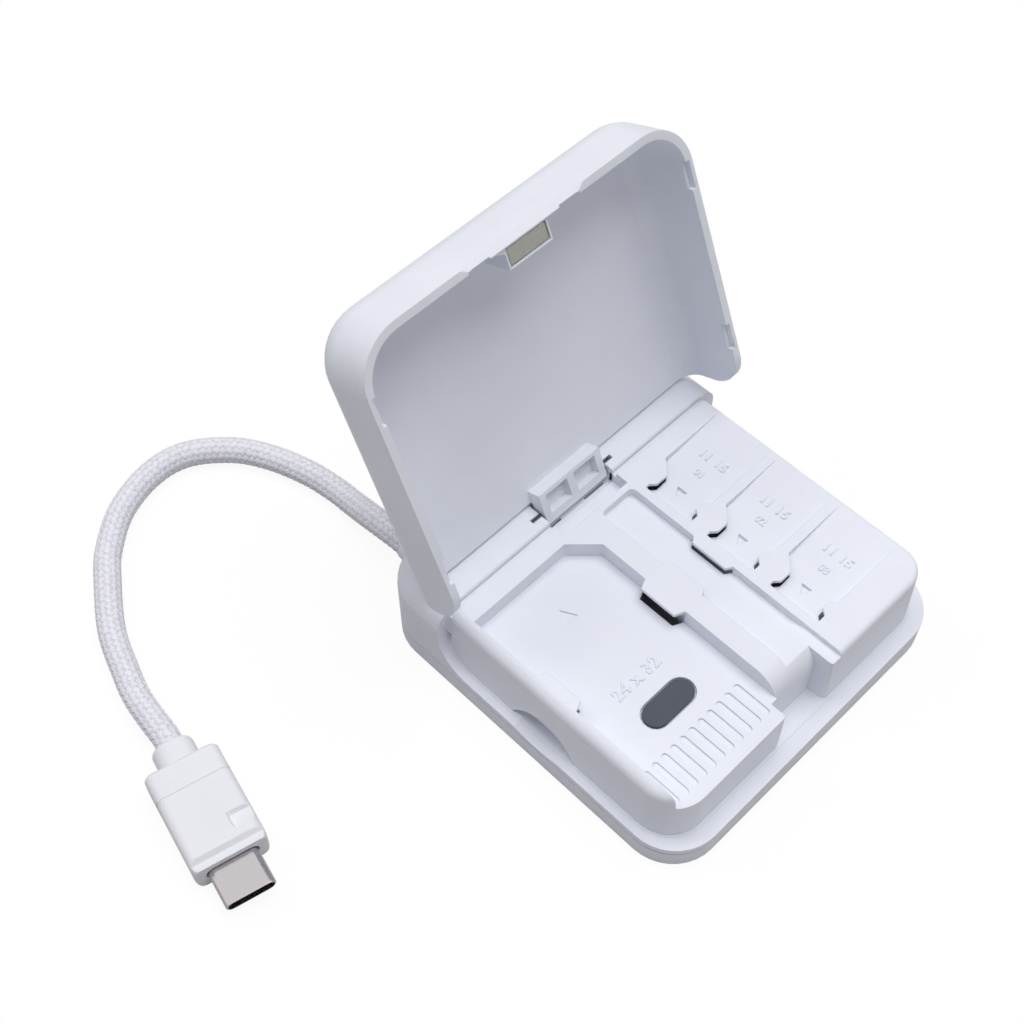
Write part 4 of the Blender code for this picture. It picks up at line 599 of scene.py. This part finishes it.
def above_ledge():
    """All that the ledge and the curved channel of the rear beam leave open."""
    y, z, radius = BEAM_FRONT - CHANNEL_RADIUS, LEDGE + CHANNEL_RADIUS, CHANNEL_RADIUS - PROUD
    outline = [(-HALF - JOINT, LEDGE + PROUD)]
    for i in range(CHANNEL_STEPS + 1):
        angle = math.pi / 2 * i / CHANNEL_STEPS
        outline.append((y + radius * math.sin(angle), z - radius * math.cos(angle)))
    over = DECK + JOINT * 2
    outline += [(y + radius, over), (-HALF - JOINT, over)]
    return prism("above_ledge", outline, -HALF, HALF, "X")


def above_beam():
    outline = box_corners(-HALF, HALF, BEAM_FRONT - JOINT, HALF)
    return prism("above_beam", outline, HINGE_FLOOR - JOINT, DECK + JOINT * 3)


def ledge_dish():
    """The shallow dish before the side opening."""
    depth = DISH_DEPTH - PROUD
    half = math.sqrt(DISH_RADIUS**2 - (DISH_RADIUS - depth) ** 2)
    spread = math.asin(half / DISH_RADIUS)
    outline = []
    for i in range(-DISH_STEPS, DISH_STEPS + 1):
        angle = spread * i / DISH_STEPS
        y = SCOOP_MIDDLE + DISH_RADIUS * math.sin(angle)
        outline.append((y, LEDGE - depth + DISH_RADIUS * (1 - math.cos(angle))))
    outline += [(SCOOP_MIDDLE + half, LEDGE + JOINT), (SCOOP_MIDDLE - half, LEDGE + JOINT)]
    return prism("ledge_dish", outline, -HALF - JOINT, SCOOP_BACK + JOINT, "X")


def rear_filler():
    """The strip between the tray's rear and the beam, up to the groove's floor, open where the hinge is."""
    bm = bmesh.new()
    rings = []
    for z in (LEDGE + CHANNEL_RADIUS, *(DECK - below for below in FILLER_LEVELS)):
        draft = TRAY_DRAFT * (z - LEDGE) / (DECK - LEDGE) + PROUD
        drawn = []
        for radius in TRAY_FILLETS:
            below = DECK - z
            drawn.append(0 if below >= radius else radius - math.sqrt(radius**2 - (radius - below) ** 2))
        left, right = TRAY_LEFT + draft + drawn[0], TRAY_RIGHT - draft - drawn[1]
        corners = box_corners(left, right, TRAY_REAR - JOINT, BEAM_FRONT + JOINT * 2)
        rings.append([bm.verts.new((x, y, z)) for x, y in corners])
    skin(bm, rings)
    strip = helper("rear_filler", bm)
    outline = box_corners(-HINGE_HALF, HINGE_HALF, TRAY_REAR - JOINT * 2, HALF)
    combine(strip, "DIFFERENCE", [prism("hinge_space", outline, HINGE_FLOOR + PROUD, DECK + JOINT)])
    return strip


def joint_filler(finish):
    """Closes the fine joint between tray and housing, so that the two look like one moulding."""
    outline = rounded(TRAY_LEFT, TRAY_RIGHT, TRAY_FRONT, BEAM_FRONT, TRAY_RADII, JOINT + PROUD)
    piece = prism("tray_joint", outline, HOUSING_BOTTOM + PROUD, DECK)
    combine(piece, "DIFFERENCE", [tray_inside(), above_ledge(), above_beam(), ledge_dish()])
    combine(piece, "UNION", [rear_filler()])
    smooth(piece, finish)
    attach(piece, "base")


# Numbers


def number(text, place, size, reading, up, finish):
    """A small raised number, centred on its place, that reads along one way with its top towards another."""
    curve = bpy.data.curves.new("number", "FONT")
    curve.body = text
    curve.size = size
    curve.align_x = curve.align_y = "CENTER"
    curve.space_character = NUMBER_SPACING
    curve.extrude = NUMBER_HEIGHT
    curve.bevel_depth = NUMBER_EDGE
    curve.bevel_resolution = 1
    curve.offset = size * NUMBER_WEIGHT_SHARE
    curve.resolution_u = 5
    made = bpy.data.objects.new("number", curve)
    SCENE.collection.objects.link(made)
    graph = bpy.context.evaluated_depsgraph_get()
    bm = bmesh.new()
    bm.from_mesh(bpy.data.meshes.new_from_object(made.evaluated_get(graph)))
    bpy.data.objects.remove(made)
    turn = Matrix((reading, up, reading.cross(up))).transposed().to_4x4()
    bm.transform(Matrix.Translation(place) @ turn)
    piece = new_piece(f"number_{round(place[0] * 1e4)}_{round(place[1] * 1e4)}", bm, finish)
    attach(piece, "base")


def pocket_numbers(finish):
    """The cards' sizes in millimetres on the pockets' floors, and a count of the small pockets."""
    number("24 x 32", (*BIG_NUMBER, BIG_FLOOR), BIG_NUMBER_SIZE, Vector((1, 0, 0)), Vector((0, 1, 0)), finish)
    climb = SMALL_DEPTH / SMALL_RAMP
    up = Vector((1, 0, climb)).normalized()
    for count, y in enumerate(SMALL_MIDDLES, 1):
        for text, x, size in (("11 15", CARD_NUMBER_X, CARD_NUMBER_SIZE), (f"0{count}", COUNT_X, COUNT_SIZE)):
            z = DECK - SMALL_DEPTH + climb * (x - SMALL_LEFT)
            number(text, (x, y, z), size, Vector((0, -1, 0)), up, finish)


# Surroundings


def make_floor():
    """White paper: it glows for the camera, and the rest of it takes the shadow."""
    nodes = Nodes("floor_paper")
    light_path = nodes.add("ShaderNodeLightPath")
    plain = nodes.add("ShaderNodeBsdfDiffuse", Color=grey(FLOOR_WHITE))
    glow = nodes.add("ShaderNodeEmission", Color=grey(1.0), Strength=FLOOR_GLOW)
    mix = nodes.add("ShaderNodeMixShader")
    share = nodes.add("ShaderNodeMath", operation="MULTIPLY")
    share.inputs[1].default_value = FLOOR_GLOW_SHARE
    nodes.link(light_path.outputs["Is Camera Ray"], share.inputs[0])
    nodes.link(share.outputs["Value"], mix.inputs["Fac"])
    nodes.link(plain.outputs["BSDF"], mix.inputs[1])
    nodes.link(glow.outputs["Emission"], mix.inputs[2])
    nodes.link(mix.outputs["Shader"], nodes.output.inputs["Surface"])
    bm = bmesh.new()
    bmesh.ops.create_grid(bm, x_segments=1, y_segments=1, size=FLOOR_SIZE / 2)
    floor = new_piece("floor", bm, nodes.material)
    floor.location = (0, 0, -FLOOR_DROP)


def make_lamp(name, place, aim, size, power, mirrored):
    data = bpy.data.lights.new(name, "AREA")
    data.shape = "SQUARE"
    data.size = size
    data.energy = power
    lamp = bpy.data.objects.new(name, data)
    lamp.location = place
    lamp.rotation_mode = "QUATERNION"
    lamp.rotation_quaternion = (Vector(aim) - Vector(place)).to_track_quat("-Z", "Y")
    lamp.visible_glossy = mirrored
    SCENE.collection.objects.link(lamp)


def make_world():
    """A white studio for the camera and for reflections, and a soft, faintly lilac light for the rest."""
    world = bpy.data.worlds.new("studio")
    world.use_nodes = True
    tree = world.node_tree
    background = tree.nodes["Background"]
    light_path = tree.nodes.new("ShaderNodeLightPath")
    seen = tree.nodes.new("ShaderNodeMath")
    seen.operation = "MAXIMUM"
    tree.links.new(light_path.outputs["Is Camera Ray"], seen.inputs[0])
    tree.links.new(light_path.outputs["Is Glossy Ray"], seen.inputs[1])
    strength = tree.nodes.new("ShaderNodeMapRange")
    strength.inputs["To Min"].default_value = WORLD_STRENGTH
    strength.inputs["To Max"].default_value = 1.0
    tree.links.new(seen.outputs["Value"], strength.inputs["Value"])
    tree.links.new(strength.outputs["Result"], background.inputs["Strength"])
    tint = tree.nodes.new("ShaderNodeMix")
    tint.data_type = "RGBA"
    tree.links.new(seen.outputs["Value"], tint.inputs["Factor"])
    tint.inputs["A"].default_value = WORLD_TINT
    tint.inputs["B"].default_value = grey(1.0)
    tree.links.new(tint.outputs["Result"], background.inputs["Color"])
    SCENE.world = world


make_camera()
make_floor()
make_world()
for lamp in LAMPS:
    make_lamp(*lamp)
SCENE.view_settings.view_transform = "Standard"

white = moulded("white_plastic", rgb(237, 240, 248), rgb(233, 236, 245))
lid_white = moulded("lid_plastic", rgb(236, 239, 246), rgb(231, 234, 242))
plug_white = moulded("plug_plastic", rgb(236, 237, 241), rgb(232, 233, 238))
rubber = moulded("grey_rubber", rgb(84, 88, 97), rgb(76, 80, 88), roughness=0.65, grain=0.08)
board = moulded("board_green", rgb(24, 92, 58), rgb(18, 78, 48), roughness=0.45)
black = moulded("black_plastic", rgb(40, 40, 42), rgb(32, 32, 34), roughness=0.45)
nickel = metal("nickel", (0.6, 0.565, 0.58, 1), (0.56, 0.53, 0.54, 1), 0.18, (500.0, 400.0, 500.0))
magnet = metal("magnet_nickel", (0.46, 0.47, 0.42, 1), (0.4, 0.41, 0.37, 1), 0.4, (400.0, 400.0, 400.0))
steel = metal("steel", (0.42, 0.42, 0.43, 1), (0.34, 0.34, 0.35, 1), 0.55)
# The grey end shows mostly in the weave's low places, where it is painted shade
braid = braided("braided_sleeve", rgb(240, 240, 246), rgb(166, 164, 186))

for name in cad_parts:
    dress(name, white)
joint_filler(white)
smooth_copy("base_housing", "base", white)
smooth_copy("card_tray", "base", white)
pocket_numbers(white)
smooth_copy("lid_shell", "lid", lid_white)
smooth_copy("bottom_cover", "base", white)
smooth_copy("cable_gland", "base", white)
shell = smooth_copy("usb_shell", "base", nickel)
plug = plug_moulding(plug_white)
braided_cable(braid)
dress("grip_pad", rubber)
for name in ("lid_magnet", "catch_magnet"):
    dress(name, magnet)
for name in ("card_socket", "hinge_pin_left", "hinge_pin_right"):
    dress(name, steel)
for index in range(4):
    dress(f"cover_screw_{index + 1}", steel)
dress("circuit_board", board)
for name in ("controller_chip", "usb_tongue"):
    dress(name, black)
